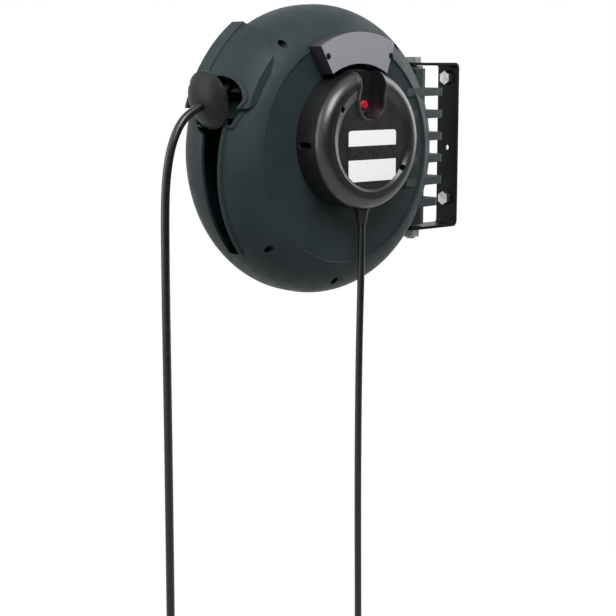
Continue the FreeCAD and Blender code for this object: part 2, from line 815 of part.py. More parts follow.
def arm():
    corner_x = rib_end - rib_corner
    corners = [
        (-rib_start, -rib_root_front), (-rib_start + rib_root, -(rib_root_front + rib_root_rise)),
        (corner_x, -rib_front, rib_corner, 1), (rib_end, -(rib_front - rib_corner)),
        (rib_end, rib_back - rib_corner, rib_corner, 1), (corner_x, rib_back), (-rib_start, rib_root_back),
    ]
    ribs = [rib(rib_top - rib_pitch * row, rib_thick, corners) for row in range(full_ribs)]
    low_x = low_rib_end - rib_corner
    low_corners = [
        (-rib_start - rib_root, -low_rib_root), (low_x, -low_rib_front, rib_corner, 1),
        (low_rib_end, -(low_rib_front - rib_corner)),
        (low_rib_end, low_rib_front - rib_corner, rib_corner, 1), (low_x, low_rib_front),
        (-rib_start - rib_root, low_rib_root),
    ]
    ribs.append(rib(rib_top - rib_pitch * full_ribs, low_rib_thick, low_corners))
    sleeve = place(cylinder(column_radius, column_height), pivot_x, 0, -column_bottom)
    block = place(box(column_start, 2 * column_radius, column_height), pivot_x - column_start,
                  -column_radius, -column_bottom)
    gusset_inner = -column_start + gusset_bite
    gusset_corners = [(-column_start - gusset_run, 0), (gusset_inner, 0), (gusset_inner, gusset_rise)]
    gusset = place(plate(gusset_corners, gusset_thick, "gusset", role="XZ_Plane"), pivot_x,
                   -column_radius + gusset_thick, rib_top)
    return fuse(sleeve, block, gusset, *ribs)


def column_room():
    """The part of the column that stays solid inside the housing."""
    return place(box(column_start + column_radius - column_inset, 2 * column_radius, column_height),
                 pivot_x - column_start + column_inset, -column_radius, -column_bottom)


def pivot_bore():
    return place(cylinder(pivot_pin / 2 + pin_play + bush_wall, column_height + 2 * past), pivot_x, 0,
                 -column_bottom - past)


def swivel_bushes():
    outer = pivot_pin / 2 + pin_play + bush_wall
    outline = [(pivot_pin / 2 + pin_play, -bush_length), (outer, -bush_length), (outer, 0),
               (outer + bush_flange_wide, 0), (outer + bush_flange_wide, bush_flange),
               (pivot_pin / 2 + pin_play, bush_flange)]
    top = place(turned(outline, "top_bush"), pivot_x, 0, column_top)
    bottom = place(turned(outline, "bottom_bush"), pivot_x, 0, -column_bottom, FACING_DOWN)
    return group(top, bottom)


# Hood and mouth, at the upper left of the front shell.
def hood_block(inset, grow=0):
    """The upright block that bounds the hood, seen from the front: its inner side is an arc."""
    low_across = -(hood_bottom_across + inset) + grow
    low_up = hood_bottom_up + inset - grow
    side_across = -(hood_side_across + inset) + grow
    side_up = hood_side_up + inset - grow
    high_across = -(hood_top_across + inset) + grow
    far_across = -(hood_reach + far_past)
    outline = [(low_across, low_up, hood_corner_arc, 1), (side_across, side_up, hood_side_arc, 1),
               (high_across, hood_top_up), (far_across, hood_top_up), (far_across, low_up)]
    rear = -hood_rear + inset - grow
    return on_reel(plate(outline, hood_front + far_past - rear, "hood_block"), 0, 0, rear)


def hood_form(grow):
    """The hood's outer form: a band round the rim, a small step and a bowed face that falls to the front."""
    outer = hood_reach + grow
    front = hood_front + grow
    outline = [(0, -hood_rear - past), (outer, -hood_rear - past), (outer, hood_edge),
               (outer - hood_step, hood_edge, hood_face_arc, 1), (outer - hood_face_fall, front), (0, front)]
    return on_reel(turned(outline, "hood_form"))


def hood(inset):
    return common(hood_block(inset), hood_form(-inset))


def mouth_side(grow):
    """All that lies above the mouth's flat foot and behind its slanting front cheek."""
    foot_up = mouth_bottom - grow
    outline = [(-hood_reach, foot_up), (mouth_foot + grow, foot_up), (mouth_cheek + grow, mouth_cheek_up),
               (mouth_cheek + grow, hood_reach), (-hood_reach, hood_reach)]
    return on_reel(plate(outline, hood_reach + 2 * far_past, "mouth_side"), 0, 0, 0, FACING_OUT)


def mouth_collar():
    round_collar = outward(mouth_radius + mouth_wall, mouth_near, hood_reach + far_past)
    collar = common(round_collar, mouth_side(mouth_wall))
    raised_hood = common(hood_block(0), hood_form(mouth_lip))
    reach = fuse(front_form(mouth_lip), back_form(mouth_lip, "lip_form"), raised_hood)
    return cut(common(collar, reach), disc(mouth_floor, -hood_rear - far_past, hood_front + far_past))


def mouth_hollow():
    hollow = common(outward(mouth_radius, mouth_near - past, hood_reach + far_past + past), mouth_side(0))
    return cut(hollow, disc(mouth_floor + shell_wall, -hood_rear - far_past, hood_front + far_past))


def guide_block():
    """The rollers' block, cut off where it meets the inside of the hood."""
    block = box(2 * guide_half, 2 * guide_half, guide_far - guide_near)
    return common(on_lead(block, guide_near, -guide_half, -guide_half), hood_form(-shell_wall))


def stopper_seat():
    """Room for the stopper, which rests against the edge of the mouth."""
    return on_stopper(cylinder(stopper_radius + moving_gap, stopper_room), -moving_gap)


def slot_opening():
    """The cord slot in the rim, seen from the side: it leans as it runs down from the mouth."""
    outline = [(slot_bottom_rear, -slot_bottom), (slot_bottom_rear + slot_bottom_width, -slot_bottom),
               (slot_top_rear + slot_top_width, slot_top), (slot_top_rear, slot_top)]
    window = plate(outline, hood_reach - slot_depth, "slot")
    return on_reel(window, -slot_depth, 0, 0, FACING_OUT)


def slot_lip_form():
    """A bead along the front edge of the slot."""
    outline = [(slot_bottom_rear + slot_bottom_width, -slot_bottom - slot_lip_wide),
               (slot_bottom_rear + slot_bottom_width + slot_lip_wide, -slot_bottom),
               (slot_top_rear + slot_top_width + slot_lip_wide, slot_top),
               (slot_top_rear + slot_top_width, slot_top)]
    bead = on_reel(plate(outline, hood_reach - slot_depth, "slot_bead"), -slot_depth, 0, 0, FACING_OUT)
    return common(bead, front_form(slot_lip))


def half_space(front, back):
    wide = housing_radius + far_past
    return reel_box((-wide, wide), (-wide, wide), (back, front))


def screw_places():
    """Shell screws round the rim, as across and up, at the angles seen on the reel."""
    return [round_reel(screw_circle, angle) for angle in (screw_one, screw_two, screw_three, screw_four)]


def screw_bosses(rear, front):
    return [disc(screw_boss, rear, front, across, up) for across, up in screw_places()]


def screw_holes(radius, rear, front):
    return [disc(radius, rear, front, across, up) for across, up in screw_places()]


arm_screw_across = pivot_across - arm_screw_in
arm_screw_up = column_top + reel_drop - arm_screw_down


def front_shell():
    form = front_form()
    room = cut(fuse(front_room(), back_form(-shell_wall, "back_room")), column_room())
    outer = fuse(form, common(arm(), half_space(front_depth + far_past, parting)), hood(0), slot_lip_form())
    walls = cut(outer, room, hood(shell_wall))
    bosses = common(fuse(*screw_bosses(parting, front_depth)), form)
    cord_way = on_lead(cylinder(cord_across / 2 + cord_room, stopper_along), 0)
    sound = cut(fuse(walls, mouth_collar(), bosses), mouth_hollow(), guide_block(), cord_way,
                slot_opening(), stopper_seat())
    clear = screw_radius + screw_play
    recess = screw_head_radius + screw_play
    holes = screw_holes(clear, parting - past, front_depth)
    holes += screw_holes(recess, screw_seat, front_depth + past)
    holes.append(disc(clear, 0, front_depth, arm_screw_across, arm_screw_up))
    holes.append(disc(recess, column_radius - screw_head, front_depth, arm_screw_across, arm_screw_up))
    holes.append(disc(front_bush_outer, 0, front_depth + past))
    for across, up in cover_screw_places() + hub_screw_places():
        holes.append(disc(small_screw + screw_play, front_depth - front_step - small_screw_bite,
                          front_depth + past, across, up))
    return cut(sound, *holes, pivot_bore())


def back_shell():
    form = back_form()
    room = cut(fuse(front_room(), back_form(-shell_wall, "back_room")), column_room())
    outer = fuse(form, common(arm(), half_space(parting, -back_depth - far_past)))
    walls = cut(outer, room)
    bosses = common(fuse(*screw_bosses(-back_depth, parting)), form)
    axle_boss = disc(axle_boss_radius, -(back_depth - shell_wall) - past, -axle_boss_end)
    sound = cut(fuse(walls, bosses, axle_boss), hood_block(0, shell_gap),
                outward(mouth_radius + mouth_wall + shell_gap, mouth_near, hood_reach + far_past),
                slot_opening(), stopper_seat())
    holes = screw_holes(screw_radius, -screw_end, parting + past)
    holes.append(disc(screw_radius, -screw_end, parting + past, arm_screw_across, arm_screw_up))
    holes.append(disc(axle_radius, -back_depth - past, 0))
    return cut(sound, *holes, pivot_bore())


def cross_head_screw(across, up, seat, length, shank_radius, head_radius, head_height):
    """A screw whose head sits on a face, with a cross-shaped recess."""
    head = disc(head_radius, seat, seat + head_height, across, up)
    shank = disc(shank_radius, seat - length, seat, across, up)
    slots = []
    slot = head_radius * slot_share
    for wide, tall in ((head_radius, slot), (slot, head_radius)):
        slots.append(reel_box((across - wide / 2, across + wide / 2), (up - tall / 2, up + tall / 2),
                              (seat + head_height / 2, seat + head_height + past)))
    return cut(fuse(head, shank), *slots)


def housing_screws():
    screws = [cross_head_screw(across, up, screw_seat, screw_seat + screw_end, screw_radius,
                               screw_head_radius, screw_head) for across, up in screw_places()]
    seat = column_radius - screw_head
    screws.append(cross_head_screw(arm_screw_across, arm_screw_up, seat, seat + column_radius - shell_wall,
                                   screw_radius, screw_head_radius, screw_head))
    return group(*screws)


# Hub cover and the arc-shaped cover above it.
def hub_polar(distance, angle):
    across, up = round_reel(distance, angle)
    return across + hub_across, up + hub_rise


def hub_screw_places():
    return [hub_polar(hub_screw_circle, angle) for angle in (hub_screw_one, hub_screw_two)]


def cover_screw_places():
    return [hub_polar(cover_screw_circle, angle) for angle in (90 + cover_screw_left, 90 - cover_screw_right)]


def notch_pad(grow, rear, front):
    half = notch_half + grow
    open_to = hub_radius + past
    outline = [(-half, notch_centre, half, 1), (0, notch_centre - half, half, 1), (half, notch_centre),
               (half, open_to), (-half, open_to)]
    return on_reel(plate(outline, front - rear, "notch"), notch_across, hub_rise, rear)


def dish(grow):
    """The hollow in the cover's front: its floor and its top edge are circles with different centres."""
    floor = (dish_face_across, dish_face_up, dish_face - grow, dish_face_radius + grow)
    brim = (2 * dish_top_across - dish_face_across, 2 * dish_top_up - dish_face_up,
            2 * dish_top - dish_face - grow, 2 * dish_top_radius - dish_face_radius + grow)
    return frustum(floor, brim)


def hub_form(grow):
    """The cover's outer form, or one that lies a little outside or inside it all over."""
    outline = [(0, front_face), (hub_radius + grow, front_face),
               (hub_radius - hub_draft + grow, hub_side, hub_arc + grow, 1),
               (hub_crest_radius, hub_crest + grow), (0, hub_crown + grow)]
    return cut(on_reel(turned(outline, "hub_form"), hub_across, hub_rise), dish(-grow))


def hub_room():
    outline = [(0, front_face - past), (hub_radius - hub_wall, front_face - past),
               (hub_radius - hub_draft - hub_wall, hub_side, hub_arc - hub_wall, 1),
               (hub_crest_radius, hub_crest - hub_wall), (0, hub_crown - hub_wall)]
    return cut(on_reel(turned(outline, "hub_room"), hub_across, hub_rise), dish(hub_wall))


def hub_cover():
    lining = common(notch_pad(notch_wall, notch_floor - hub_wall, hub_crown + past), hub_form(notch_rim))
    posts = [disc(post_radius, front_face, dish_face - past, across, up)
             for across, up in hub_screw_places()]
    solid = fuse(cut(hub_form(0), hub_room()), lining, *posts)
    holes = [notch_pad(0, notch_floor, hub_crown + 2 * past)]
    for across, up in hub_screw_places():
        holes.append(disc(small_screw + screw_play, front_face - past, hub_crown, across, up))
        holes.append(disc(small_head + screw_play, hub_screw_seat, hub_crown, across, up))
    gland = on_reel(cylinder(gland_radius, hub_radius), 0, 0, lead_front, FACING_DOWN)
    button_hole = disc(button_radius + button_play, notch_floor - hub_wall - past, notch_floor + past,
                       button_across, button_up)
    across, up = hub_polar(hub_radius, side_notch_angle)
    low = front_face + side_notch_rise
    pull = disc(side_notch, low, low + side_notch_height, across, up)
    return cut(solid, *holes, gland, button_hole, pull)


def hub_screws():
    screws = [cross_head_screw(across, up, hub_screw_seat, hub_screw_seat - front_face + small_screw_bite,
                               small_screw, small_head, small_head_height)
              for across, up in hub_screw_places()]
    return group(*screws)


def round_top(distance, angle):
    """A point at a distance from the hub's middle and an angle from straight up, to the right."""
    return distance * sine(angle), distance * cosine(angle)


def sector(inset, height):
    """The arc cover's outline: its left end points at the hub, its right end stands steeper."""
    inner = cover_inner + inset
    outer = cover_outer - inset
    turn = inset * cover_end_turn
    left = cover_left_angle - turn
    outline = [(*round_top(inner, -left), inner, -1), round_top(inner, cover_right_low - turn),
               (*round_top(outer, cover_right_high - turn), outer, 1), round_top(outer, -left)]
    return plate(outline, height, "sector")


def arc_cover():
    outer = on_reel(sector(0, cover_front - cover_rear), hub_across, hub_rise, cover_rear)
    depth = cover_front - cover_rear - cover_wall
    room = on_reel(sector(cover_wall, depth), hub_across, hub_rise, cover_rear)
    posts = [disc(post_radius, cover_rear, cover_front - past, across, up)
             for across, up in cover_screw_places()]
    post_room = on_reel(sector(past, cover_front - cover_rear), hub_across, hub_rise, cover_rear)
    holes = []
    for across, up in cover_screw_places():
        holes.append(disc(small_screw + screw_play, cover_rear - past, cover_front + past, across, up))
        holes.append(disc(small_head + screw_play, cover_front - small_head_height, cover_front + past,
                          across, up))
    return cut(fuse(cut(outer, room), common(fuse(*posts), post_room)), front_form(), *holes)


def arc_cover_screws():
    seat = cover_front - small_head_height
    screws = [cross_head_screw(across, up, seat, seat - front_face + small_screw_bite, small_screw,
                               small_head, small_head_height) for across, up in cover_screw_places()]
    return group(*screws)


def rating_label():
    half_width = label_width / 2
    half_height = label_height / 2
    outline = rounded(-half_width, half_width, -half_height, half_height, label_corner)
    film = on_reel(plate(outline, label_thick, "label"), label_across, label_up, dish_face)
    floor = disc(dish_face_radius - label_inset, dish_face, dish_face + label_thick, dish_face_across,
                 dish_face_up)
    return common(film, floor)


# Axle, bearings and the parts that stay with the housing.
def axle():
    outline = [(0, -axle_rear), (axle_radius, -axle_rear), (axle_radius, -axle_boss_end),
               (arbor_radius, -axle_boss_end), (arbor_radius, -arbor_front), (axle_radius, -arbor_front),
               (axle_radius, axle_front), (0, axle_front)]
    return on_reel(turned(outline, "axle"))


def axle_nut():
    nut = on_reel(hexagon(axle_nut_flats, axle_nut_height), 0, 0, -back_depth - axle_nut_height)
    return cut(nut, disc(axle_radius, -back_depth - axle_nut_height - past, -back_depth + past))


def axle_circlip():
    return ring(axle_radius, axle_radius + circlip_width, barrel_front + moving_gap,
                barrel_front + moving_gap + circlip_thick, name="circlip")


def front_bush():
    inner = barrel_radius + bearing_play
    rear = front_face - shell_wall - front_bush_collar
    outline = [(inner, 0), (front_bush_outer + front_bush_flange, 0),
               (front_bush_outer + front_bush_flange, front_bush_collar),
               (front_bush_outer, front_bush_collar),
               (front_bush_outer, front_face + front_bush_out - rear),
               (inner, front_face + front_bush_out - rear)]
    return on_reel(turned(outline, "front_bush"), 0, 0, rear)


# The drum and what turns with it.
def drum_half(towards_front):
    flange = flange_thick
    outline = [
        (hub_bore, 0), (flange_radius, 0), (flange_radius, flange), (core_radius, flange),
        (core_radius, winding_width / 2 + flange), (core_radius - core_wall, winding_width / 2 + flange),
        (core_radius - core_wall, flange), (hub_bore + sleeve_wall, flange),
        (hub_bore + sleeve_wall, winding_width / 2 + flange), (hub_bore, winding_width / 2 + flange),
    ]
    body = turned(outline, "drum_half")
    if towards_front:
        return on_reel(body, 0, 0, drum_front, Rotation(Vector(1, 0, 0), -90))
    return on_reel(body, 0, 0, drum_rear)


def drum_bushes():
    rear = ring(axle_radius + axle_play, hub_bore, drum_rear, drum_rear + drum_bush_length, name="rear_bush")
    front = ring(axle_radius + axle_play, hub_bore, drum_front - drum_bush_length, drum_front,
                 name="front_bush")
    return group(rear, front)


def cable_core():
    return ring(core_radius, winding_radius - cord_across / 2 - winding_gap, winding_rear, winding_front,
                name="core")


def spring_case():
    outline = [(hub_bore, 0), (spring_case_radius, 0), (spring_case_radius, spring_case_depth),
               (spring_case_radius - spring_case_wall, spring_case_depth),
               (spring_case_radius - spring_case_wall, spring_case_wall), (hub_bore, spring_case_wall)]
    return on_reel(turned(outline, "spring_case"), 0, 0, drum_rear, Rotation(Vector(1, 0, 0), -90))


def spring_case_cover():
    rear = drum_rear - spring_case_depth - spring_cover_thick
    return ring(arbor_radius + moving_gap, spring_case_radius, rear, rear + spring_cover_thick,
                name="case_cover")


def spiral_spring():
    """The rewind spring: a flat strip wound from the arbor out to its case, in half turns."""
    first = arbor_radius.number + moving_gap.number
    last = spring_case_radius.number - spring_case_wall.number - spring_strip.number - moving_gap.number
    half_turns = 2 * int(spring_turns.number)
    step = (last - first) / half_turns
    strip = spring_strip.number
    width = spring_case_depth.number - spring_case_wall.number - 2 * moving_gap.number
    edges = []
    for side in (0, strip):
        for index in range(half_turns):
            facing = 1 if index % 2 == 0 else -1
            start = first + step * index + side
            end = start + step
            middle = (start - end) / 2 * facing
            radius = (start + end) / 2
            edges.append(Part.Arc(Vector(start * facing, 0, 0), Vector(middle, radius * facing, 0),
                                  Vector(-end * facing, 0, 0)).toShape())
    edges.append(Part.makeLine(Vector(first, 0, 0), Vector(first + strip, 0, 0)))
    edges.append(Part.makeLine(Vector(last, 0, 0), Vector(last + strip, 0, 0)))
    outline = Part.Wire(Part.__sortEdges__(edges))
    shape = Part.Face(outline).extrude(Vector(0, 0, width))
    front = drum_rear - spring_case_wall - moving_gap
    return feature("spiral_spring", shape, Vector(reel_x.number, -front.number + width, reel_z.number),
                   FACING_FRONT)


def ratchet_ring():
    inner = ratchet_radius - ratchet_ring_width
    wheel = ring(inner, ratchet_radius, drum_front, drum_front + ratchet_thick, name="ratchet")
    gaps = []
    for tooth in range(int(ratchet_teeth.number)):
        angle = 360 / int(ratchet_teeth.number) * tooth + ratchet_phase.number
        across, up = round_reel(ratchet_radius, angle)
        gaps.append(disc(ratchet_tooth, drum_front - past, drum_front + ratchet_thick + past, across, up))
    return cut(wheel, group(*gaps))


def slip_ring_barrel():
    return ring(axle_radius + barrel_play, barrel_radius, drum_front, barrel_front, name="barrel")


ring_fronts = [front_face + ring_offset + ring_pitch * index for index in range(ring_count)]


def slip_rings():
    return group(*[ring(barrel_radius, barrel_radius + ring_height, front - ring_width / 2,
                        front + ring_width / 2, name="slip_ring") for front in ring_fronts])


# Brushes, breaker and terminals inside the hub cover.
brush_top = barrel_radius + ring_height + moving_gap


def brush_pocket(front, grow):
    half = brush_width / 2 + grow
    return reel_box((-half, half), (-brush_top - brush_length - grow, -brush_top),
                    (front - half, front + half))


def brushes():
    return group(*[brush_pocket(front, 0) for front in ring_fronts])


def brush_holder():
    block = reel_box((-brush_holder_half, brush_holder_half),
                     (-brush_top - brush_length - brush_holder_wall, -brush_top - brush_bare),
                     (front_face, ring_fronts[-1] + brush_holder_front))
    return cut(block, *[brush_pocket(front, 0) for front in ring_fronts])


def overload_breaker():
    body = rounded(button_across - breaker_half, button_across + breaker_half, button_up - breaker_half,
                   button_up + breaker_half, breaker_corner)
    block = on_reel(plate(body, breaker_depth, "breaker"), 0, 0, front_face)
    neck = disc(breaker_neck, front_face + breaker_depth, notch_floor - hub_wall, button_across, button_up)
    hole = disc(button_stem + button_play, front_face + breaker_depth - button_travel - past,
                notch_floor + past, button_across, button_up)
    return cut(fuse(block, neck), hole)


def breaker_collar():
    rear = notch_floor
    return ring(button_radius + button_play, collar_radius, rear, rear + collar_height, button_across,
                button_up, name="collar")


def reset_button():
    front = notch_floor + collar_height + button_proud
    stem_rear = front_face + breaker_depth
    shoulder = notch_floor - hub_wall + button_travel + moving_gap - stem_rear
    outline = [(0, 0), (button_stem, 0), (button_stem, shoulder),
               (button_radius, shoulder), (button_radius, front - stem_rear - button_dome, button_dome, 1),
               (button_radius - button_dome, front - stem_rear), (0, front - stem_rear)]
    return on_reel(turned(outline, "reset_button"), button_across, button_up, stem_rear)


def terminal_block():
    block = reel_box((terminal_across, terminal_across + terminal_length),
                     (-terminal_drop, -terminal_drop + terminal_height),
                     (front_face, front_face + terminal_depth))
    pockets = []
    front = front_face + terminal_depth
    for index in range(terminal_count):
        across = terminal_across + terminal_length * (index + 0.5) / terminal_count
        pockets.append(disc(terminal_screw, front - terminal_screw_depth, front + past, across,
                            -terminal_drop + terminal_height / 2))
    return cut(block, *pockets)


def supply_gland():
    """The tapered sleeve that the supply lead hangs from."""
    outline = [(0, 0), (gland_radius - gland_taper, 0), (gland_radius - gland_lip, relief_length),
               (gland_radius, relief_length), (gland_radius, relief_length + gland_seat),
               (0, relief_length + gland_seat)]
    return on_reel(turned(outline, "gland"), 0, -relief_bottom, lead_front, FACING_UP)


# Rollers and stopper at the mouth.
def guide_frame():
    inner = guide_half - guide_wall
    tunnel = box(2 * inner, 2 * inner, guide_far - guide_near + 2 * past)
    block = cut(guide_block(), on_lead(tunnel, guide_near - past, -inner, -inner))
    pins = []
    for along, facing in ((roller_first, ACROSS_LEAD), (roller_second, UP_LEAD)):
        for side in (-1, 1):
            pins.append(roller_cylinder(roller_pin / 2, guide_half, along, side, facing))
    return cut(block, *pins)


def roller_cylinder(radius, half_length, along, side, facing):
    """A cylinder across the cord's way out, on one side of it."""
    offset = (cord_across / 2 + roller_play + roller_radius) * side
    target = cylinder(radius, 2 * half_length)
    if facing is ACROSS_LEAD:
        return on_lead(target, along, offset, -half_length, ACROSS_LEAD)
    return on_lead(target, along, -half_length, offset, UP_LEAD)


def roller(along, side, facing):
    half = guide_half - guide_wall - moving_gap
    body = roller_cylinder(roller_radius, half, along, side, facing)
    bore = roller_cylinder(roller_pin / 2 + pin_play, half + past, along, side, facing)
    return cut(body, bore)


def roller_pins():
    pins = []
    for along, facing in ((roller_first, ACROSS_LEAD), (roller_second, UP_LEAD)):
        for side in (-1, 1):
            pins.append(roller_cylinder(roller_pin / 2, guide_half, along, side, facing))
    return group(*pins)


def stopper_body():
    """The ball end: a cone-backed dome about the cord."""
    cap = stopper_depth - stopper_rim
    dome = ((stopper_radius - stopper_nose) * (stopper_radius - stopper_nose) + cap * cap) / (2 * cap)
    outline = [(0, -stopper_neck), (stopper_neck_radius, -stopper_neck), (stopper_neck_radius, 0),
               (stopper_radius, 0), (stopper_radius, stopper_rim, dome, 1), (stopper_nose, stopper_depth),
               (0, stopper_depth)]
    return on_stopper(turned(outline, "stopper"))


def stopper_halves():
    bore = on_lead(cylinder(cord_across / 2 + pin_play, stopper_neck + stopper_depth + 6 * past),
                   stopper_along - stopper_neck - 3 * past)
    halves = []
    for front, rear in ((mouth_front + 2 * stopper_radius, mouth_front), (mouth_front, -2 * stopper_radius)):
        space = reel_box((-hood_reach - stopper_room, -mouth_near), (-stopper_room, hood_reach),
                         (rear, front))
        half = cut(common(stopper_body(), space), bore)
        for rise in (stopper_screw_rise, -stopper_screw_rise):
            half = cut(half, stopper_screw(rise, screw_play))
        halves.append(half)
    return group(*halves)


def stopper_screw(rise, grow=0):
    """A screw across the stopper; with a grow, the hole that it goes in."""
    head_room = 3 * stopper_screw_reach if grow else small_head_height
    shank = on_stopper(cylinder(small_screw + grow, 2 * stopper_screw_reach), stopper_screw_along, rise,
                       -stopper_screw_reach, ACROSS_STOPPER)
    head = on_stopper(cylinder(small_head + grow, head_room), stopper_screw_along, rise,
                      -stopper_screw_reach - head_room, ACROSS_STOPPER)
    return fuse(shank, head)


def stopper_screws():
    return group(stopper_screw(stopper_screw_rise), stopper_screw(-stopper_screw_rise))


# Pawl and its spring, on a pin inside the front shell.
pawl_across, pawl_up = round_reel(pawl_circle, pawl_angle)


def pawl_pin():
    return disc(pawl_pin_radius, drum_front + moving_gap, front_face - shell_wall, pawl_across, pawl_up)


def ratchet_pawl():
    rear = drum_front + 2 * moving_gap
    lifted = pawl_angle.number + 180 + pawl_lift.number
    tip_across = pawl_across + pawl_length * math.cos(math.radians(lifted))
    tip_up = pawl_up + pawl_length * math.sin(math.radians(lifted))
    web = box(pawl_length, 2 * pawl_tip, pawl_thick)
    turn = FACING_FRONT * Rotation(Vector(0, 0, 1), lifted)
    side = math.radians(lifted - 90)
    on_reel(web, pawl_across + pawl_tip * math.cos(side), pawl_up + pawl_tip * math.sin(side), rear, turn)
    body = fuse(disc(pawl_hub, rear, rear + pawl_thick, pawl_across, pawl_up),
                disc(pawl_tip, rear, rear + pawl_thick, tip_across, tip_up), web)
    hole = disc(pawl_pin_radius + pin_play, rear - past, rear + pawl_thick + past, pawl_across, pawl_up)
    return cut(body, hole)


# Cords and other wound forms: tubes along joined lines and arcs.
# The share of a run that the arc at its end may take up.
run_share = 0.45
# How far apart the points lie on which a gap between turns is measured.
sample_step = 3


def feature(name, shape, base=Vector(), facing=FACING_UP):
    """A piece whose shape is set here; its sizes come from the sheet."""
    target = document.addObject("Part::Feature", name)
    target.Shape = shape
    target.Placement = FreeCAD.Placement(base, facing)
    return target


def tube(edges, radius):
    """A round tube along a path of lines and arcs, from its first point."""
    start = edges[0].valueAt(edges[0].FirstParameter)
    direction = edges[0].tangentAt(edges[0].FirstParameter)
    profile = Part.Wire(Part.makeCircle(radius, start, direction))
    return Part.Wire(edges).makePipeShell([profile], True, False)


def report_tube(name, shape, edges, radius, radii):
    length = sum(edge.Length for edge in edges)
    print(name, "length", round(length, 1), "volume ratio",
          round(shape.Volume / (math.pi * radius * radius * length), 4), "radii",
          [round(value) for value in radii])


def cord_edges(points):
    """Straight runs joined by tangent arcs, each as large as its two runs allow."""
    edges = []
    radii = []
    start = points[0]
    for before, corner, after in zip(points, points[1:], points[2:]):
        arriving = (corner - before).normalize()
        leaving = (after - corner).normalize()
        half_turn = arriving.getAngle(leaving) / 2
        reach = run_share * min((corner - before).Length, (after - corner).Length)
        radius = reach / math.tan(half_turn)
        inward = (leaving - arriving).normalize()
        middle = corner + inward * (radius / math.cos(half_turn) - radius)
        arc_start = corner - arriving * reach
        arc_end = corner + leaving * reach
        edges.append(Part.LineSegment(start, arc_start).toShape())
        edges.append(Part.Arc(arc_start, middle, arc_end).toShape())
        radii.append(radius)
        start = arc_end
    edges.append(Part.LineSegment(start, points[-1]).toShape())
    return edges, radii


def two_arcs(start, start_way, end, end_way):
    """Two arcs that join two points smoothly, given the ways through them."""
    chord = end - start
    ways = start_way + end_way
    spread = 2 * (1 - start_way.dot(end_way))
    reach = (-chord.dot(ways) + math.sqrt(chord.dot(ways) ** 2 + spread * chord.dot(chord))) / spread
    joint = (start + start_way * reach + end - end_way * reach) * 0.5
    joint_way = (end - end_way * reach - start - start_way * reach).normalize()
    return [arc_between(start, start_way, joint), arc_between(joint, joint_way, end)]


def arc_between(start, way, end):
    chord = end - start
    half = way.getAngle(chord)
    bow = (way - Vector(chord).normalize() * math.cos(half)).normalize()
    middle = start + chord * 0.5 + bow * (chord.Length / 2 * math.tan(half / 2))
    return Part.Arc(start, middle, end).toShape()


def winding_edges(radius, pitch, quarters, start_angle, end_run):
    """A helix about its own Z in quarter turns, with a straight run at each end."""
    def point(step):
        angle = math.radians(start_angle + 90 * step)
        return Vector(radius * math.cos(angle), radius * math.sin(angle), pitch / 4 * step)

    def way(step):
        angle = math.radians(start_angle + 90 * step)
        around = math.pi / 2 * radius
        return Vector(-around * math.sin(angle), around * math.cos(angle), pitch / 4).normalize()

    edges = [Part.LineSegment(point(0) - way(0) * end_run, point(0)).toShape()]
    for step in range(quarters):
        edges += two_arcs(point(step), way(step), point(step + 1), way(step + 1))
    edges.append(Part.LineSegment(point(quarters), point(quarters) + way(quarters) * end_run).toShape())
    return edges


def least_self_gap(edges, radius, turn_length):
    """The least gap between turns, measured on points a few millimetres apart."""
    points = []
    along = 0
    for edge in edges:
        count = max(int(edge.Length / sample_step), 1)
        for index in range(count):
            points.append((along + edge.Length * index / count,
                           edge.valueAt(edge.FirstParameter
                                        + (edge.LastParameter - edge.FirstParameter) * index / count)))
        along += edge.Length
    least = min((first[1] - second[1]).Length for first in points for second in points
                if second[0] - first[0] > turn_length / 2)
    return least - 2 * radius


def wound_cable():
    """The outer layer of the winding; the layers under it are the plain core."""
    pitch = winding_pitch.number
    quarters = winding_quarters
    used = pitch * quarters / 4
    radius = cord_across.number / 2
    edges = winding_edges(winding_radius.number, pitch, quarters, 0, cord_across.number)
    shape = tube(edges, radius)
    report_tube("wound_cable", shape, edges, radius, [winding_radius.number])
    print("wound_cable least self gap",
          round(least_self_gap(edges, radius, 2 * math.pi * winding_radius.number), 2))
    return feature("wound_cable", shape,
                   Vector(reel_x.number, -mouth_front.number + used / 2, reel_z.number), FACING_FRONT)


def pawl_spring():
    """A small torsion spring about the pawl's pin."""
    radius = pawl_spring_wire.number / 2
    edges = winding_edges(pawl_spring_radius.number, pawl_spring_pitch.number, pawl_spring_quarters, 0,
                          pawl_spring_wire.number)
    shape = tube(edges, radius)
    report_tube("pawl_spring", shape, edges, radius, [pawl_spring_radius.number])
    print("pawl_spring least self gap",
          round(least_self_gap(edges, radius, 2 * math.pi * pawl_spring_radius.number), 2))
    front = drum_front + 2 * moving_gap + pawl_thick + pawl_spring_wire
    return feature("pawl_spring", shape, Vector((reel_x + pawl_across).number, -front.number,
                                                (reel_z + pawl_up).number), FACING_FRONT)


def reel_point(across, up, front):
    return Vector(reel_x.number + across, -front, reel_z.number + up)


def cable_lead_off():
    start = lead_point(0)
    end = lead_point(stopper_along + stopper_depth)
    edges = [Part.LineSegment(start, end).toShape()]
    return feature("cable_lead_off", tube(edges, cord_across.number / 2))


# Route of the free working cord below the stopper, across and up from the reel's axis.
working_route = [(-166.2, 39.8), (-175.3, 31.4), (-181.9, 20.6), (-186.9, 8.4), (-190.5, -6.4),
                 (-193.1, -24.0), (-194.4, -46.0), (-194.9, -84.0), (-195.1, -142.0), (-195.0, -232.0),
                 (-195.3, -338.0), (-195.8, -448.0), (-196.0, -556.0)]


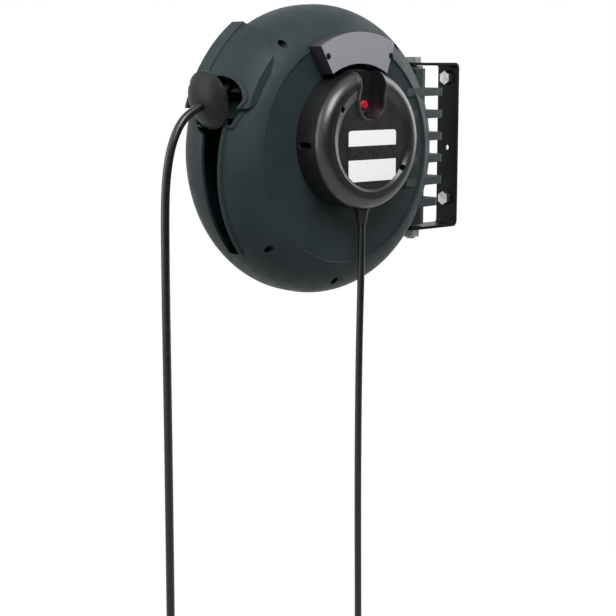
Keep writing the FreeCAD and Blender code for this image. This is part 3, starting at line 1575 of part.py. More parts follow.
def working_cord():
    points = [lead_point(stopper_along + stopper_depth)]
    points += [reel_point(across, up, mouth_front.number) for across, up in working_route]
    points.append(reel_point(tail_across.number, -tail_drop.number, tail_front.number))
    edges, radii = cord_edges(points)
    shape = tube(edges, cord_across.number / 2)
    report_tube("working_cord", shape, edges, cord_across.number / 2, radii)
    return feature("working_cord", shape)


# Route of the supply lead below its gland.
supply_route = [(-0.1, -96.0), (-1.0, -134.0), (-2.4, -186.0), (-3.2, -256.0), (-3.1, -342.0),
                (-2.0, -442.0), (-0.9, -546.0), (-0.3, -650.0)]


def supply_lead():
    points = [reel_point(0, -relief_bottom.number, lead_front.number)]
    points += [reel_point(across, up, lead_front.number) for across, up in supply_route]
    points.append(reel_point(0, -lead_drop.number, lead_front.number))
    edges, radii = cord_edges(points)
    shape = tube(edges, lead_across.number / 2)
    report_tube("supply_lead", shape, edges, lead_across.number / 2, radii)
    return feature("supply_lead", shape)


def supply_plug():
    outline = [(0, 0), (plug_radius, 0), (plug_radius, plug_body, plug_shoulder, 1),
               (plug_neck, plug_length - plug_relief), (lead_across / 2 + relief_wall, plug_length),
               (0, plug_length)]
    body = on_reel(turned(outline, "plug"), 0, -lead_drop - plug_length, lead_front, FACING_UP)
    return cut(body, *[plug_pin(side) for side in (-1, 1)])


def plug_pin(side):
    face = -lead_drop - plug_length
    pin = on_reel(cylinder(pin_radius, pin_length), side * pin_spacing / 2, face - pin_length, lead_front,
                  FACING_UP)
    pin_foot = on_reel(cylinder(pin_root_radius, pin_root), side * pin_spacing / 2, face, lead_front,
                       FACING_UP)
    return fuse(pin, pin_foot)


def plug_pins():
    return group(plug_pin(-1), plug_pin(1))


def coupling_socket():
    outline = [(0, socket_recess), (socket_bore, socket_recess), (socket_bore, 0), (socket_radius, 0),
               (socket_radius, socket_body), (plug_neck, socket_length - plug_relief),
               (cord_across / 2 + relief_wall, socket_length), (0, socket_length)]
    body = on_reel(turned(outline, "socket"), tail_across, -tail_drop - socket_length, tail_front, FACING_UP)
    return cut(body, *[contact_sleeve(side, contact_radius, 0) for side in (-1, 1)])


def contact_sleeve(side, radius, inset):
    return on_reel(cylinder(radius, contact_length), tail_across + side * pin_spacing / 2,
                   -tail_drop - socket_length + socket_recess + inset, tail_front, FACING_UP)


def socket_contacts():
    sleeves = []
    for side in (-1, 1):
        bore = contact_sleeve(side, pin_radius + contact_play, -past)
        sleeves.append(cut(contact_sleeve(side, contact_radius, 0), bore))
    return group(*sleeves)


# Every node, by name.
pieces = [
    ("wall_bracket", wall_bracket), ("wall_bolts", wall_bolts), ("pivot_bolt", pivot_bolt),
    ("pivot_nut", pivot_nut), ("swivel_bushes", swivel_bushes), ("front_shell", front_shell),
    ("back_shell", back_shell), ("housing_screws", housing_screws), ("hub_cover", hub_cover),
    ("hub_screws", hub_screws), ("arc_cover", arc_cover), ("arc_cover_screws", arc_cover_screws),
    ("rating_label", rating_label), ("axle", axle), ("axle_nut", axle_nut), ("axle_circlip", axle_circlip),
    ("front_bush", front_bush), ("drum_rear_half", lambda: drum_half(False)),
    ("drum_front_half", lambda: drum_half(True)), ("drum_bushes", drum_bushes), ("cable_core", cable_core),
    ("wound_cable", wound_cable), ("spring_case", spring_case), ("spring_case_cover", spring_case_cover),
    ("rewind_spring", spiral_spring), ("ratchet_ring", ratchet_ring), ("slip_ring_barrel", slip_ring_barrel),
    ("slip_rings", slip_rings), ("brush_holder", brush_holder), ("brushes", brushes),
    ("overload_breaker", overload_breaker), ("breaker_collar", breaker_collar),
    ("reset_button", reset_button), ("terminal_block", terminal_block), ("supply_gland", supply_gland),
    ("guide_frame", guide_frame), ("roller_pins", roller_pins),
    ("upper_roller", lambda: roller(roller_first, 1, ACROSS_LEAD)),
    ("lower_roller", lambda: roller(roller_first, -1, ACROSS_LEAD)),
    ("front_roller", lambda: roller(roller_second, 1, UP_LEAD)),
    ("rear_roller", lambda: roller(roller_second, -1, UP_LEAD)),
    ("stopper_halves", stopper_halves), ("stopper_screws", stopper_screws), ("pawl_pin", pawl_pin),
    ("ratchet_pawl", ratchet_pawl), ("pawl_spring", pawl_spring), ("cable_lead_off", cable_lead_off),
    ("working_cord", working_cord), ("coupling_socket", coupling_socket),
    ("socket_contacts", socket_contacts), ("supply_lead", supply_lead), ("supply_plug", supply_plug),
    ("plug_pins", plug_pins),
]
for label, make in pieces:
    node(make(), label)

document.recompute()
for item in document.Objects:
    if "Invalid" in item.State or "Error" in item.State:
        raise RuntimeError("failed: " + item.Name + " " + item.Label)
for item in nodes:
    if item.Shape.isNull() or not item.Shape.isValid():
        raise RuntimeError("bad shape: " + item.Label)
os.makedirs("parts", exist_ok=True)
for item in nodes:
    item.Shape.exportStep("parts/" + item.Label + ".step")
    print(item.Label, len(item.Shape.Solids), round(item.Shape.Volume / 1000, 2))
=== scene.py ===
# %% [markdown]
# # A wall-mounted extension cord reel
# The real object is a closed plastic drum housing that hangs on a steel bracket and swivels on one
# upright bolt. A sprung drum inside pulls the working cord back in. Its frame, joints and sizes come
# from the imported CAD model, and this notebook gives every piece its finish and the soft ones their form.

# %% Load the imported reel
import json
import math

import bpy
from mathutils import Matrix, Vector

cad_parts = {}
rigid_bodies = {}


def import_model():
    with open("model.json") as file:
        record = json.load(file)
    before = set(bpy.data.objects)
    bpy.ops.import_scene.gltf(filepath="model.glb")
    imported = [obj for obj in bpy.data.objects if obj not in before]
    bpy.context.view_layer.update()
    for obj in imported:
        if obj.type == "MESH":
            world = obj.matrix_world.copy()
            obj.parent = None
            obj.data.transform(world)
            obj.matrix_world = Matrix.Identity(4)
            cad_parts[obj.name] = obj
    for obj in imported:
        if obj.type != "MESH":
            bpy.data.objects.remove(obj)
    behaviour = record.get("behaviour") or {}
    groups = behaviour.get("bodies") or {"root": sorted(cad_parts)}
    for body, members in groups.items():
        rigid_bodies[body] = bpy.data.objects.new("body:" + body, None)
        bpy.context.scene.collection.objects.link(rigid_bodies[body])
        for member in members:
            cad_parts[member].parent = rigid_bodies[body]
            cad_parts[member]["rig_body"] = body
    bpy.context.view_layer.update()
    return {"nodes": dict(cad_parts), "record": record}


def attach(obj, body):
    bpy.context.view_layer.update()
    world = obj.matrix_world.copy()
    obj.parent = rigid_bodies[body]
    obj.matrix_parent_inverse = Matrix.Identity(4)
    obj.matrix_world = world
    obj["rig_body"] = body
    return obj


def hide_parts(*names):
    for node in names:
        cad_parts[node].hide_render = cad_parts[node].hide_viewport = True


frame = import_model()
nodes = frame["nodes"]
print("CAD nodes:", len(nodes))

# %% [markdown]
# ## Where things are
# Every place is in metres in the reel's own frame: the wall is at X = 0, the hub looks along -Y and Z is
# up. It is easier to think in the reel's own directions, so one small helper turns millimetres across,
# up and forward of the drum's axis into a point, and another does so with millimetres along the cord's
# way out. A third stands on the axis and looks out of the reel's face, for what is spun or wound round it.

# %% Places on the reel
MM = 0.001
reel_axis = Vector((-0.201, 0.0, -0.005))
mouth_front = 16.0
lead_tilt = math.radians(26.5)
lead_distance = 109.8
stopper_along = 103.5
stopper_depth = 12.5


def reel_point(across, up, front):
    """A point from millimetres across, up and forward of the drum's axis."""
    return reel_axis + Vector((across, -front, up)) * MM


def lead_point(along):
    """A point from millimetres along the cord's straight way out."""
    side = -lead_distance * math.sin(lead_tilt) - along * math.cos(lead_tilt)
    up = lead_distance * math.cos(lead_tilt) - along * math.sin(lead_tilt)
    return reel_point(side, up, mouth_front)


def facing_front(front):
    """A place on the axis whose local Z looks forward, out of the reel's face."""
    turn = Matrix.Rotation(math.pi / 2, 4, "X")
    return Matrix.Translation(reel_point(0, 0, front)) @ turn


print("mouth of the cord:", tuple(round(v, 4) for v in lead_point(stopper_along)))

# %% [markdown]
# ## Camera
# The photograph looks down a little at the hub side from the left of the wall. The two cords hang plumb,
# the housing is round and the bracket is square, which was enough to work out the camera: 42 degrees
# round from the hub's own direction, 9.6 degrees down, through a lens of 84.2 mm on a 36 mm sensor.

# %% Camera
camera_azimuth = math.radians(-42)
camera_pitch = math.radians(9.62)
camera_offset = Vector((-0.9706, -1.0720, 0.0848))
camera_lens, camera_sensor, camera_far = 84.2, 36, 30
bpy.ops.object.camera_add(location=reel_axis + camera_offset)
camera = bpy.context.object
camera.data.lens = camera_lens
camera.data.sensor_width = camera_sensor
looking = Vector((-math.sin(camera_azimuth) * math.cos(camera_pitch),
                  math.cos(camera_azimuth) * math.cos(camera_pitch), -math.sin(camera_pitch)))
camera.rotation_euler = looking.to_track_quat("-Z", "Y").to_euler()
camera.data.clip_end = camera_far
bpy.context.scene.camera = camera
print("camera at", tuple(round(v, 3) for v in camera.location))

# %% [markdown]
# ## How the finishes are made
# A moulded or painted surface is never one flat colour. Each finish starts from a plain shader and adds
# noise in real millimetres: a wide one that shifts the colour and the gloss a little, and a fine one that
# raises the surface by hundredths of a millimetre, as a mould's texture does. Object coordinates keep the
# grain still on a piece from any side.

# %% Helpers for finishes
dark_below, light_above = 0.35, 0.68
smooth_below, rough_above = 0.3, 0.7
edge_samples = 4


def new_finish(name, colour, rough, metal=0.0):
    """A plain finish to build on, as a material and its node tree and shader."""
    finish = bpy.data.materials.new(name)
    finish.use_nodes = True
    surface = finish.node_tree.nodes["Principled BSDF"]
    surface.inputs["Base Color"].default_value = (*colour, 1)
    surface.inputs["Roughness"].default_value = rough
    surface.inputs["Metallic"].default_value = metal
    return finish, finish.node_tree, surface


def noise(tree, size_mm, detail=3.0, stretch=(1, 1, 1)):
    """Noise whose blotches are size_mm across, stretched where an axis has less than 1."""
    place = tree.nodes.new("ShaderNodeTexCoord")
    mapping = tree.nodes.new("ShaderNodeMapping")
    mapping.inputs["Scale"].default_value = stretch
    blotches = tree.nodes.new("ShaderNodeTexNoise")
    blotches.inputs["Scale"].default_value = 1 / (size_mm * MM)
    blotches.inputs["Detail"].default_value = detail
    tree.links.new(place.outputs["Object"], mapping.inputs["Vector"])
    tree.links.new(mapping.outputs["Vector"], blotches.inputs["Vector"])
    return blotches


def shift_colour(tree, surface, blotches, dark, light):
    """The base colour runs from dark to light with the noise."""
    ramp = tree.nodes.new("ShaderNodeValToRGB")
    ramp.color_ramp.elements[0].position = dark_below
    ramp.color_ramp.elements[0].color = (*dark, 1)
    ramp.color_ramp.elements[1].position = light_above
    ramp.color_ramp.elements[1].color = (*light, 1)
    tree.links.new(blotches.outputs["Fac"], ramp.inputs["Fac"])
    tree.links.new(ramp.outputs["Color"], surface.inputs["Base Color"])


def shift_gloss(tree, surface, blotches, smooth, rough):
    """The roughness runs from smooth to rough with the noise."""
    span = tree.nodes.new("ShaderNodeMapRange")
    span.inputs["From Min"].default_value = smooth_below
    span.inputs["From Max"].default_value = rough_above
    span.inputs["To Min"].default_value = smooth
    span.inputs["To Max"].default_value = rough
    tree.links.new(blotches.outputs["Fac"], span.inputs["Value"])
    tree.links.new(span.outputs["Result"], surface.inputs["Roughness"])


def raise_grain(tree, surface, blotches, height_mm, edge_mm=0.7):
    """The noise stands height_mm proud, on edges that catch the light as if rounded by edge_mm."""
    edges = tree.nodes.new("ShaderNodeBevel")
    edges.samples = edge_samples
    edges.inputs["Radius"].default_value = edge_mm * MM
    bump = tree.nodes.new("ShaderNodeBump")
    bump.inputs["Distance"].default_value = height_mm * MM
    tree.links.new(edges.outputs["Normal"], bump.inputs["Normal"])
    tree.links.new(blotches.outputs["Fac"], bump.inputs["Height"])
    tree.links.new(bump.outputs["Normal"], surface.inputs["Normal"])


def shade(colour, factor):
    """A lighter or darker step of a colour."""
    return tuple(min(channel * factor, 1.0) for channel in colour)


# %% [markdown]
# ## Moulded plastic
# The housing is a matt grey-green plastic with the fine spark-eroded grain of its mould. The hub cover is
# smoother and nearly black, and the arc-shaped cover above it is a polished grey. One recipe makes all the
# mouldings, from their colour, their gloss, the size and height of their grain and the softness of edges.

# %% Moulded plastics
mould_blotch, mould_gloss, mould_detail = 38.0, 9.0, 2.0
mould_dark, mould_light = 0.9, 1.12


def moulded(name, colour, smooth, rough, grain_mm, height_mm, sheen=0.2, edge_mm=0.7):
    """A plastic with wide blotches, clouds of gloss and the fine grain of its mould."""
    finish, tree, surface = new_finish(name, colour, rough)
    surface.inputs["Specular IOR Level"].default_value = sheen
    wide = noise(tree, mould_blotch)
    shift_colour(tree, surface, wide, shade(colour, mould_dark), shade(colour, mould_light))
    shift_gloss(tree, surface, noise(tree, mould_gloss), smooth, rough)
    raise_grain(tree, surface, noise(tree, grain_mm, mould_detail), height_mm, edge_mm)
    return finish


housing_plastic = moulded("housing_plastic", (0.020, 0.030, 0.032), 0.46, 0.60, 0.9, 0.035, 0.14)
hub_plastic = moulded("hub_plastic", (0.008, 0.008, 0.0095), 0.30, 0.38, 1.4, 0.010, 0.65, 1.1)
cover_plastic = moulded("cover_plastic", (0.25, 0.246, 0.272), 0.22, 0.30, 2.4, 0.006, 0.5)
inner_plastic = moulded("inner_plastic", (0.010, 0.010, 0.011), 0.45, 0.60, 0.8, 0.02)
white_plastic = moulded("white_plastic", (0.62, 0.61, 0.58), 0.35, 0.48, 0.7, 0.015)
red_plastic = moulded("red_plastic", (0.44, 0.014, 0.030), 0.16, 0.24, 1.2, 0.006)
print("moulded:", housing_plastic.name, hub_plastic.name, cover_plastic.name, inner_plastic.name,
      white_plastic.name, red_plastic.name)

# %% [markdown]
# ## Painted shade on the grey cover's sides
# The arc-shaped cover is pale grey in front, and its sides get a painted shade that is nearly black.
# The cover is one moulding, so the painted shade follows the way a face looks: faces that look sideways
# are painted darker. The normal's Y is -1 on a face that looks straight forwards.

# %% Painted shade on the arc cover's sides
# Where the painted shade on the sides ends and the pale front begins, along the ramp.
painted_shade_below, front_pale_above = 0.35, 0.75


def painted_side_shade(finish, colour, side_shade_colour):
    """Painted shade: faces that look sideways are darker than those that look forwards; this replaces the
    blotches.
    """
    tree = finish.node_tree
    place = tree.nodes.new("ShaderNodeTexCoord")
    parts = tree.nodes.new("ShaderNodeSeparateXYZ")
    blend = tree.nodes.new("ShaderNodeValToRGB")
    forwards = tree.nodes.new("ShaderNodeMath")
    forwards.operation = "MULTIPLY"
    forwards.inputs[1].default_value = -1.0
    blend.color_ramp.elements[0].position = painted_shade_below
    blend.color_ramp.elements[0].color = (*side_shade_colour, 1)
    blend.color_ramp.elements[1].position = front_pale_above
    blend.color_ramp.elements[1].color = (*colour, 1)
    tree.links.new(place.outputs["Normal"], parts.inputs["Vector"])
    tree.links.new(parts.outputs["Y"], forwards.inputs[0])
    tree.links.new(forwards.outputs["Value"], blend.inputs["Fac"])
    tree.links.new(blend.outputs["Color"], tree.nodes["Principled BSDF"].inputs["Base Color"])


# The sides get a nearly black painted shade; the front keeps the cover's pale grey.
painted_side_shade(cover_plastic, (0.26, 0.256, 0.282), (0.03, 0.03, 0.034))
print("dark sides on", cover_plastic.name)

# %% [markdown]
# ## Steel, brass and bronze
# Zinc plating is grey and a little cloudy, with the faint lines of the drawn or turned bar under it. The
# bracket is steel under a satin black paint, which has the soft ripple of a sprayed coat. Brass and bronze
# sit inside, on the plug and in the bearings.

# %% Metals
metal_cloud, metal_dark, metal_light = 5.0, 0.78, 1.1
line_detail, line_height = 5.0, 0.01
paint_blotch, paint_dark, paint_light = 14.0, 0.8, 1.25
paint_gloss, paint_sheen = 4.0, 0.1
ripple_size, ripple_detail, ripple_height = 1.6, 1.0, 0.03


def drawn_metal(name, colour, smooth, rough, line_mm, stretch):
    """A bare or plated metal, cloudy, with fine lines along the axis that stretch makes small."""
    finish, tree, surface = new_finish(name, colour, rough, 1.0)
    cloudy = noise(tree, metal_cloud)
    shift_colour(tree, surface, cloudy, shade(colour, metal_dark), shade(colour, metal_light))
    lines = noise(tree, line_mm, line_detail, stretch)
    shift_gloss(tree, surface, lines, smooth, rough)
    raise_grain(tree, surface, lines, line_height)
    return finish


def painted_steel(name, colour, smooth, rough):
    """Steel under a sprayed coat with a soft ripple."""
    finish, tree, surface = new_finish(name, colour, rough)
    surface.inputs["Specular IOR Level"].default_value = paint_sheen
    patchy = noise(tree, paint_blotch)
    shift_colour(tree, surface, patchy, shade(colour, paint_dark), shade(colour, paint_light))
    shift_gloss(tree, surface, noise(tree, paint_gloss), smooth, rough)
    raise_grain(tree, surface, noise(tree, ripple_size, ripple_detail), ripple_height)
    return finish


zinc_steel = drawn_metal("zinc_steel", (0.47, 0.47, 0.46), 0.30, 0.48, 0.5, (1, 1, 0.2))
spring_steel = drawn_metal("spring_steel", (0.16, 0.17, 0.20), 0.25, 0.40, 0.4, (0.1, 1, 0.1))
brass = drawn_metal("brass", (0.72, 0.52, 0.20), 0.18, 0.32, 0.4, (1, 1, 0.15))
bronze = drawn_metal("bronze", (0.42, 0.27, 0.13), 0.42, 0.60, 0.3, (1, 1, 1))
black_steel = painted_steel("black_steel", (0.006, 0.006, 0.0065), 0.28, 0.40)
dark_screw = painted_steel("dark_screw", (0.006, 0.006, 0.0065), 0.35, 0.50)
print("metals:", zinc_steel.name, spring_steel.name, brass.name, bronze.name, black_steel.name,
      dark_screw.name)

# %% [markdown]
# ## Rubber, cord sheath, carbon and the label's film
# Rubber mouldings are dull with a trace of bloom, and the cord's sheath is smoother and catches a long
# highlight. One recipe serves them and the carbon brushes, with the colour, the gloss and the grain of each
# as its values. The label's film is smooth and pale, with one dark band that is set by its height.

# %% Rubber, sheath, carbon and film
bloom_size, bloom_detail, bloom_dark, bloom_light = 6.0, 5.0, 0.85, 1.3
rubber_gloss = 3.0
film_smooth, film_rough, film_gloss = 0.24, 0.34, 6.0
film_grain, film_height, film_edge = 2.0, 0.003, 0.2


def rubber_finish(name, colour, smooth, rough, grain_mm, height_mm, sheen=0.25):
    """Rubber, sheath or carbon with a trace of bloom."""
    finish, tree, surface = new_finish(name, colour, rough)
    surface.inputs["Specular IOR Level"].default_value = sheen
    bloom = noise(tree, bloom_size, bloom_detail)
    shift_colour(tree, surface, bloom, shade(colour, bloom_dark), shade(colour, bloom_light))
    shift_gloss(tree, surface, noise(tree, rubber_gloss), smooth, rough)
    raise_grain(tree, surface, noise(tree, grain_mm), height_mm)
    return finish


rubber = rubber_finish("rubber", (0.014, 0.0135, 0.0155), 0.38, 0.52, 0.5, 0.02)
cord_sheath = rubber_finish("cord_sheath", (0.0075, 0.0075, 0.0082), 0.24, 0.36, 1.0, 0.008, 0.4)
stopper_rubber = rubber_finish("stopper_rubber", (0.006, 0.006, 0.0072), 0.40, 0.50, 0.6, 0.012, 0.18)
carbon = rubber_finish("carbon", (0.018, 0.018, 0.018), 0.55, 0.7, 0.3, 0.02)


def banded_film(name, pale, dark, low_mm, high_mm):
    """A smooth printed film: pale, with one dark band between two heights."""
    finish, tree, surface = new_finish(name, pale, rough=0.3)
    place = tree.nodes.new("ShaderNodeTexCoord")
    parts = tree.nodes.new("ShaderNodeSeparateXYZ")
    heights = tree.nodes.new("ShaderNodeMapRange")
    bands = tree.nodes.new("ShaderNodeValToRGB")
    tree.links.new(place.outputs["Object"], parts.inputs["Vector"])
    tree.links.new(parts.outputs["Z"], heights.inputs["Value"])
    reach = 100.0
    heights.inputs["From Min"].default_value = reel_axis.z - reach * MM
    heights.inputs["From Max"].default_value = reel_axis.z + reach * MM
    bands.color_ramp.interpolation = "CONSTANT"
    bands.color_ramp.elements[0].color = (*pale, 1)
    bands.color_ramp.elements[1].position = (low_mm + reach) / (2 * reach)
    bands.color_ramp.elements[1].color = (*dark, 1)
    bands.color_ramp.elements.new((high_mm + reach) / (2 * reach)).color = (*pale, 1)
    tree.links.new(heights.outputs["Result"], bands.inputs["Fac"])
    tree.links.new(bands.outputs["Color"], surface.inputs["Base Color"])
    shift_gloss(tree, surface, noise(tree, film_gloss), film_smooth, film_rough)
    raise_grain(tree, surface, noise(tree, film_grain), film_height, film_edge)
    return finish


label_film = banded_film("label_film", (0.92, 0.92, 0.91), (0.018, 0.018, 0.019), -5.8, 7.5)
print("soft finishes:", rubber.name, cord_sheath.name, stopper_rubber.name, carbon.name, label_film.name)

# %% [markdown]
# ## Give each CAD node its finish
# Rigid pieces whose form is right stay as they are. The record says which material slot each node has, so
# the finish follows from the slot's name. Only the stopper's halves then get one of their own.

# %% Finishes on the CAD nodes
finishes = {
    "housing_plastic": housing_plastic, "hub_plastic": hub_plastic, "cover_plastic": cover_plastic,
    "black_steel": black_steel, "zinc_steel": zinc_steel, "dark_screw": dark_screw, "rubber": rubber,
    "cord_rubber": cord_sheath, "inner_plastic": inner_plastic, "white_plastic": white_plastic,
    "label": label_film, "red_plastic": red_plastic, "brass": brass, "spring_steel": spring_steel,
    "carbon": carbon, "bronze": bronze,
}


def dress(piece, finish):
    """Put one finish on all of a piece."""
    if not piece.material_slots:
        piece.data.materials.append(finish)
    for place in piece.material_slots:
        place.material = finish


slots = {row["node"]: row["material_slot"] for row in frame["record"]["subparts"]}
frame_body = {name: node["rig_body"] for name, node in nodes.items()}
for name, node in nodes.items():
    dress(node, finishes[slots[name]])
dress(nodes["stopper_halves"], stopper_rubber)
print("dressed", len(nodes), "nodes")

# %% [markdown]
# ## Cords
# A cord is a fixed length of something flexible, with the same round section all along. A tube of mesh
# could pinch where it bends, so each cord is one smooth NURBS line led by a few places, with a round bevel
# for its thickness. One helper draws them all.

# %% Helpers for the cords
curve_order, cord_facets = 3, 5


def cord_line(name, points, radius_mm, fine=10):
    """A smooth round cord along a few points; the ends are the first and last of them."""
    curve = bpy.data.curves.new(name, "CURVE")
    curve.dimensions = "3D"
    spline = curve.splines.new("NURBS")
    spline.points.add(len(points) - 1)
    for knot, point in zip(spline.points, points):
        knot.co = (*point, 1)
    spline.order_u = curve_order
    spline.use_endpoint_u = True
    spline.resolution_u = fine
    curve.bevel_depth = radius_mm * MM
    curve.bevel_resolution = cord_facets
    curve.use_fill_caps = True
    cord = bpy.data.objects.new(name, curve)
    bpy.context.scene.collection.objects.link(cord)
    return cord


# %% [markdown]
# ## The working cord
# This is the cord that is pulled out to the work. It leaves the rubber stopper in line with its hole, bends
# over under its own weight and hangs plumb. The places it passes were read from the photograph down to the
# edge of the picture, and below that it goes straight on to its coupling, which is a CAD node.

# %% The working cord
cord_radius = 4.0
tail_across, tail_drop, tail_front = -196.0, 655.0, 15.5
working_route = [(-166.2, 39.8), (-175.3, 31.4), (-181.9, 20.6), (-186.9, 8.4), (-190.5, -6.4),
                 (-193.1, -24.0), (-194.4, -46.0), (-194.9, -84.0), (-195.1, -142.0), (-195.0, -232.0),
                 (-195.3, -338.0), (-195.8, -448.0), (-196.0, -556.0)]
cord_exit = lead_point(stopper_along + stopper_depth)
working_points = [cord_exit] + [reel_point(across, up, mouth_front) for across, up in working_route]
working_points.append(reel_point(tail_across, -tail_drop, tail_front))
working_tail = cord_line("working_tail", working_points, cord_radius)
dress(working_tail, cord_sheath)
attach(working_tail, "housing")
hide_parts("working_cord")
print("working cord:", len(working_points), "places,", 2 * cord_radius, "mm thick")

# %% [markdown]
# ## The supply lead
# A thinner cord brings the current from below to a gland under the hub. It could be a copy of the working
# cord, but it has its own thickness and hangs with its own slight waves, so it is a line of its own.

# %% The supply lead
lead_radius = 3.5
lead_front, relief_bottom, lead_drop = 72.0, 68.0, 735.0
supply_route = [(-0.1, -96.0), (-1.0, -134.0), (-2.4, -186.0), (-3.2, -256.0), (-3.1, -342.0),
                (-2.0, -442.0), (-0.9, -546.0), (-0.3, -650.0)]
lead_exit = reel_point(0, -relief_bottom, lead_front)
supply_points = [lead_exit] + [reel_point(across, up, lead_front) for across, up in supply_route]
supply_points.append(reel_point(0, -lead_drop, lead_front))
hanging_lead = cord_line("hanging_lead", supply_points, lead_radius)
dress(hanging_lead, cord_sheath)
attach(hanging_lead, "housing")
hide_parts("supply_lead")
print("supply lead:", len(supply_points), "places,", 2 * lead_radius, "mm thick")

# %% [markdown]
# ## The straight stretch
# Between the winding and the stopper the cord is pulled straight between the rollers of the mouth. A plain
# cylinder would do, but the same kind of line gives it the section and the look of the cord that hangs.

# %% The straight stretch from the winding to the stopper
taut_points = [lead_point(along) for along in (0, 30, 60, 90, stopper_along + stopper_depth)]
taut_stretch = cord_line("taut_stretch", taut_points, cord_radius)
dress(taut_stretch, cord_sheath)
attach(taut_stretch, "housing")
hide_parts("cable_lead_off")
print("straight stretch:", round((taut_points[-1] - taut_points[0]).length / MM, 1), "mm long")

# %% [markdown]
# ## The wound cord
# The slot in the rim opens on the turns of the wound cord. Rings beside each other would look much the
# same, but the outer layer of a real winding is one unbroken helix, so it is drawn as one line.

# %% The winding's outer layer
winding_radius, winding_pitch, turns, per_turn = 101.0, 8.7, 3, 16


def helix(radius, pitch, count, steps, centre):
    """Points of a helix about the reel's axis; a chord's corner lies a little outside the line."""
    reach = radius / math.cos(math.pi / steps)
    points = []
    for step in range(count * steps + 1):
        angle = 2 * math.pi * step / steps
        along = pitch * (step / steps - count / 2)
        points.append(centre + Vector((reach * math.cos(angle), -along, reach * math.sin(angle))))
    return points


winding_points = helix(winding_radius * MM, winding_pitch * MM, turns, per_turn,
                       reel_point(0, 0, mouth_front))
wound_turns = cord_line("wound_turns", winding_points, cord_radius)
dress(wound_turns, cord_sheath)
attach(wound_turns, "drum")
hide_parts("wound_cable")
print("outer layer:", turns, "turns,", len(winding_points), "places")

# %% [markdown]
# ## Turned forms
# Much of a reel is round. A turned piece starts as one point: it is extruded along the outline of half its
# section and then spun about the axis, as clay is thrown on a wheel. The doubled points where the turn
# closes are merged, and the faces are made to look outwards.

# %% A helper that turns an outline
weld_gap = 0.000002
smooth_below_angle = math.radians(35)


def only(piece):
    """Select one piece and nothing else."""
    bpy.ops.object.select_all(action="DESELECT")
    piece.select_set(True)
    bpy.context.view_layer.objects.active = piece


def turned(name, outline, place, steps):
    """An outline of (radius, height) points in millimetres, spun about the Z of a place."""
    bpy.ops.object.select_all(action="DESELECT")
    bpy.ops.mesh.primitive_plane_add(size=2 * MM)
    piece = bpy.context.object
    piece.name = name
    bpy.ops.object.mode_set(mode="EDIT")
    bpy.ops.mesh.select_all(action="SELECT")
    bpy.ops.mesh.merge(type="CENTER")
    bpy.ops.transform.translate(value=Vector((outline[0][0], 0, outline[0][1])) * MM)
    for here, there in zip(outline, outline[1:]):
        step = Vector((there[0] - here[0], 0, there[1] - here[1])) * MM
        bpy.ops.mesh.extrude_vertices_move(TRANSFORM_OT_translate={"value": step})
    bpy.ops.mesh.select_all(action="SELECT")
    bpy.ops.mesh.spin(steps=steps, angle=2 * math.pi, center=(0, 0, 0), axis=(0, 0, 1))
    bpy.ops.mesh.select_all(action="SELECT")
    bpy.ops.mesh.remove_doubles(threshold=weld_gap)
    bpy.ops.mesh.normals_make_consistent(inside=False)
    bpy.ops.object.mode_set(mode="OBJECT")
    piece.data.transform(place)
    bpy.ops.object.shade_smooth_by_angle(angle=smooth_below_angle)
    return piece


# %% [markdown]
# ## The inner layers
# Under the outer layer lie more turns of the same cord. Drawn turn by turn they would cost many faces that
# hardly show, so they are one turned ring, whose outside is a row of ridges as round as the cord.

# %% The inner layers of the winding
core_inner, core_outer, core_half = 56.0, 96.7, 18.0
ridge_radius, ridge_count, ridge_corners, core_steps = 4.0, 4, 8, 96
ridge_outline = [(core_inner, -core_half), (core_outer - ridge_radius, -core_half)]
for row in range(ridge_count):
    middle = winding_pitch * (row - (ridge_count - 1) / 2)
    for corner in range(ridge_corners + 1):
        swing = math.pi * (corner / ridge_corners - 0.5)
        ridge_outline.append((core_outer - ridge_radius + ridge_radius * math.cos(swing),
                              middle + ridge_radius * math.sin(swing)))
ridge_outline += [(core_outer - ridge_radius, core_half), (core_inner, core_half),
                  (core_inner, -core_half)]
inner_layers = turned("inner_layers", ridge_outline, facing_front(mouth_front), core_steps)
dress(inner_layers, cord_sheath)
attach(inner_layers, "drum")
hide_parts("cable_core")
print("inner layers:", len(inner_layers.data.polygons), "faces")

# %% [markdown]
# ## The rewind spring
# The rewind spring is a flat strip of blue steel wound from the axle's arbor out to its case. A bevelled
# curve would make it a round wire, so a flat curve that follows the spiral is extruded to the strip's width,
# made a mesh and given its thickness by Solidify.

# %% The rewind spring
spring_first, spring_last, spring_turn_count = 10.7, 58.9, 9
strip_width, strip_thick, spring_middle = 27.4, 0.8, -20.5
strip_steps, strip_fine = 16, 3
spiral = bpy.data.curves.new("rewind_strip", "CURVE")
spiral.dimensions = "2D"
strip_line = spiral.splines.new("NURBS")
strip_line.points.add(spring_turn_count * strip_steps)
for index, knot in enumerate(strip_line.points):
    share = index / (spring_turn_count * strip_steps)
    reach = (spring_first + (spring_last - spring_first) * share) * MM
    swing = 2 * math.pi * index / strip_steps
    knot.co = (reach * math.cos(swing), reach * math.sin(swing), 0, 1)
strip_line.order_u = curve_order
strip_line.use_endpoint_u = True
strip_line.resolution_u = strip_fine
spiral.extrude = strip_width / 2 * MM
rewind_strip = bpy.data.objects.new("rewind_strip", spiral)
bpy.context.scene.collection.objects.link(rewind_strip)
only(rewind_strip)
bpy.ops.object.convert(target="MESH")
rewind_strip = bpy.context.object
thickness = rewind_strip.modifiers.new("strip", "SOLIDIFY")
thickness.thickness = strip_thick * MM
thickness.offset = 0
bpy.ops.object.modifier_apply(modifier="strip")
rewind_strip.data.transform(facing_front(spring_middle))
bpy.ops.object.shade_smooth_by_angle(angle=smooth_below_angle)
dress(rewind_strip, spring_steel)
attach(rewind_strip, frame_body["rewind_spring"])
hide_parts("rewind_spring")
print("rewind spring:", spring_turn_count, "turns,", len(rewind_strip.data.polygons), "faces")

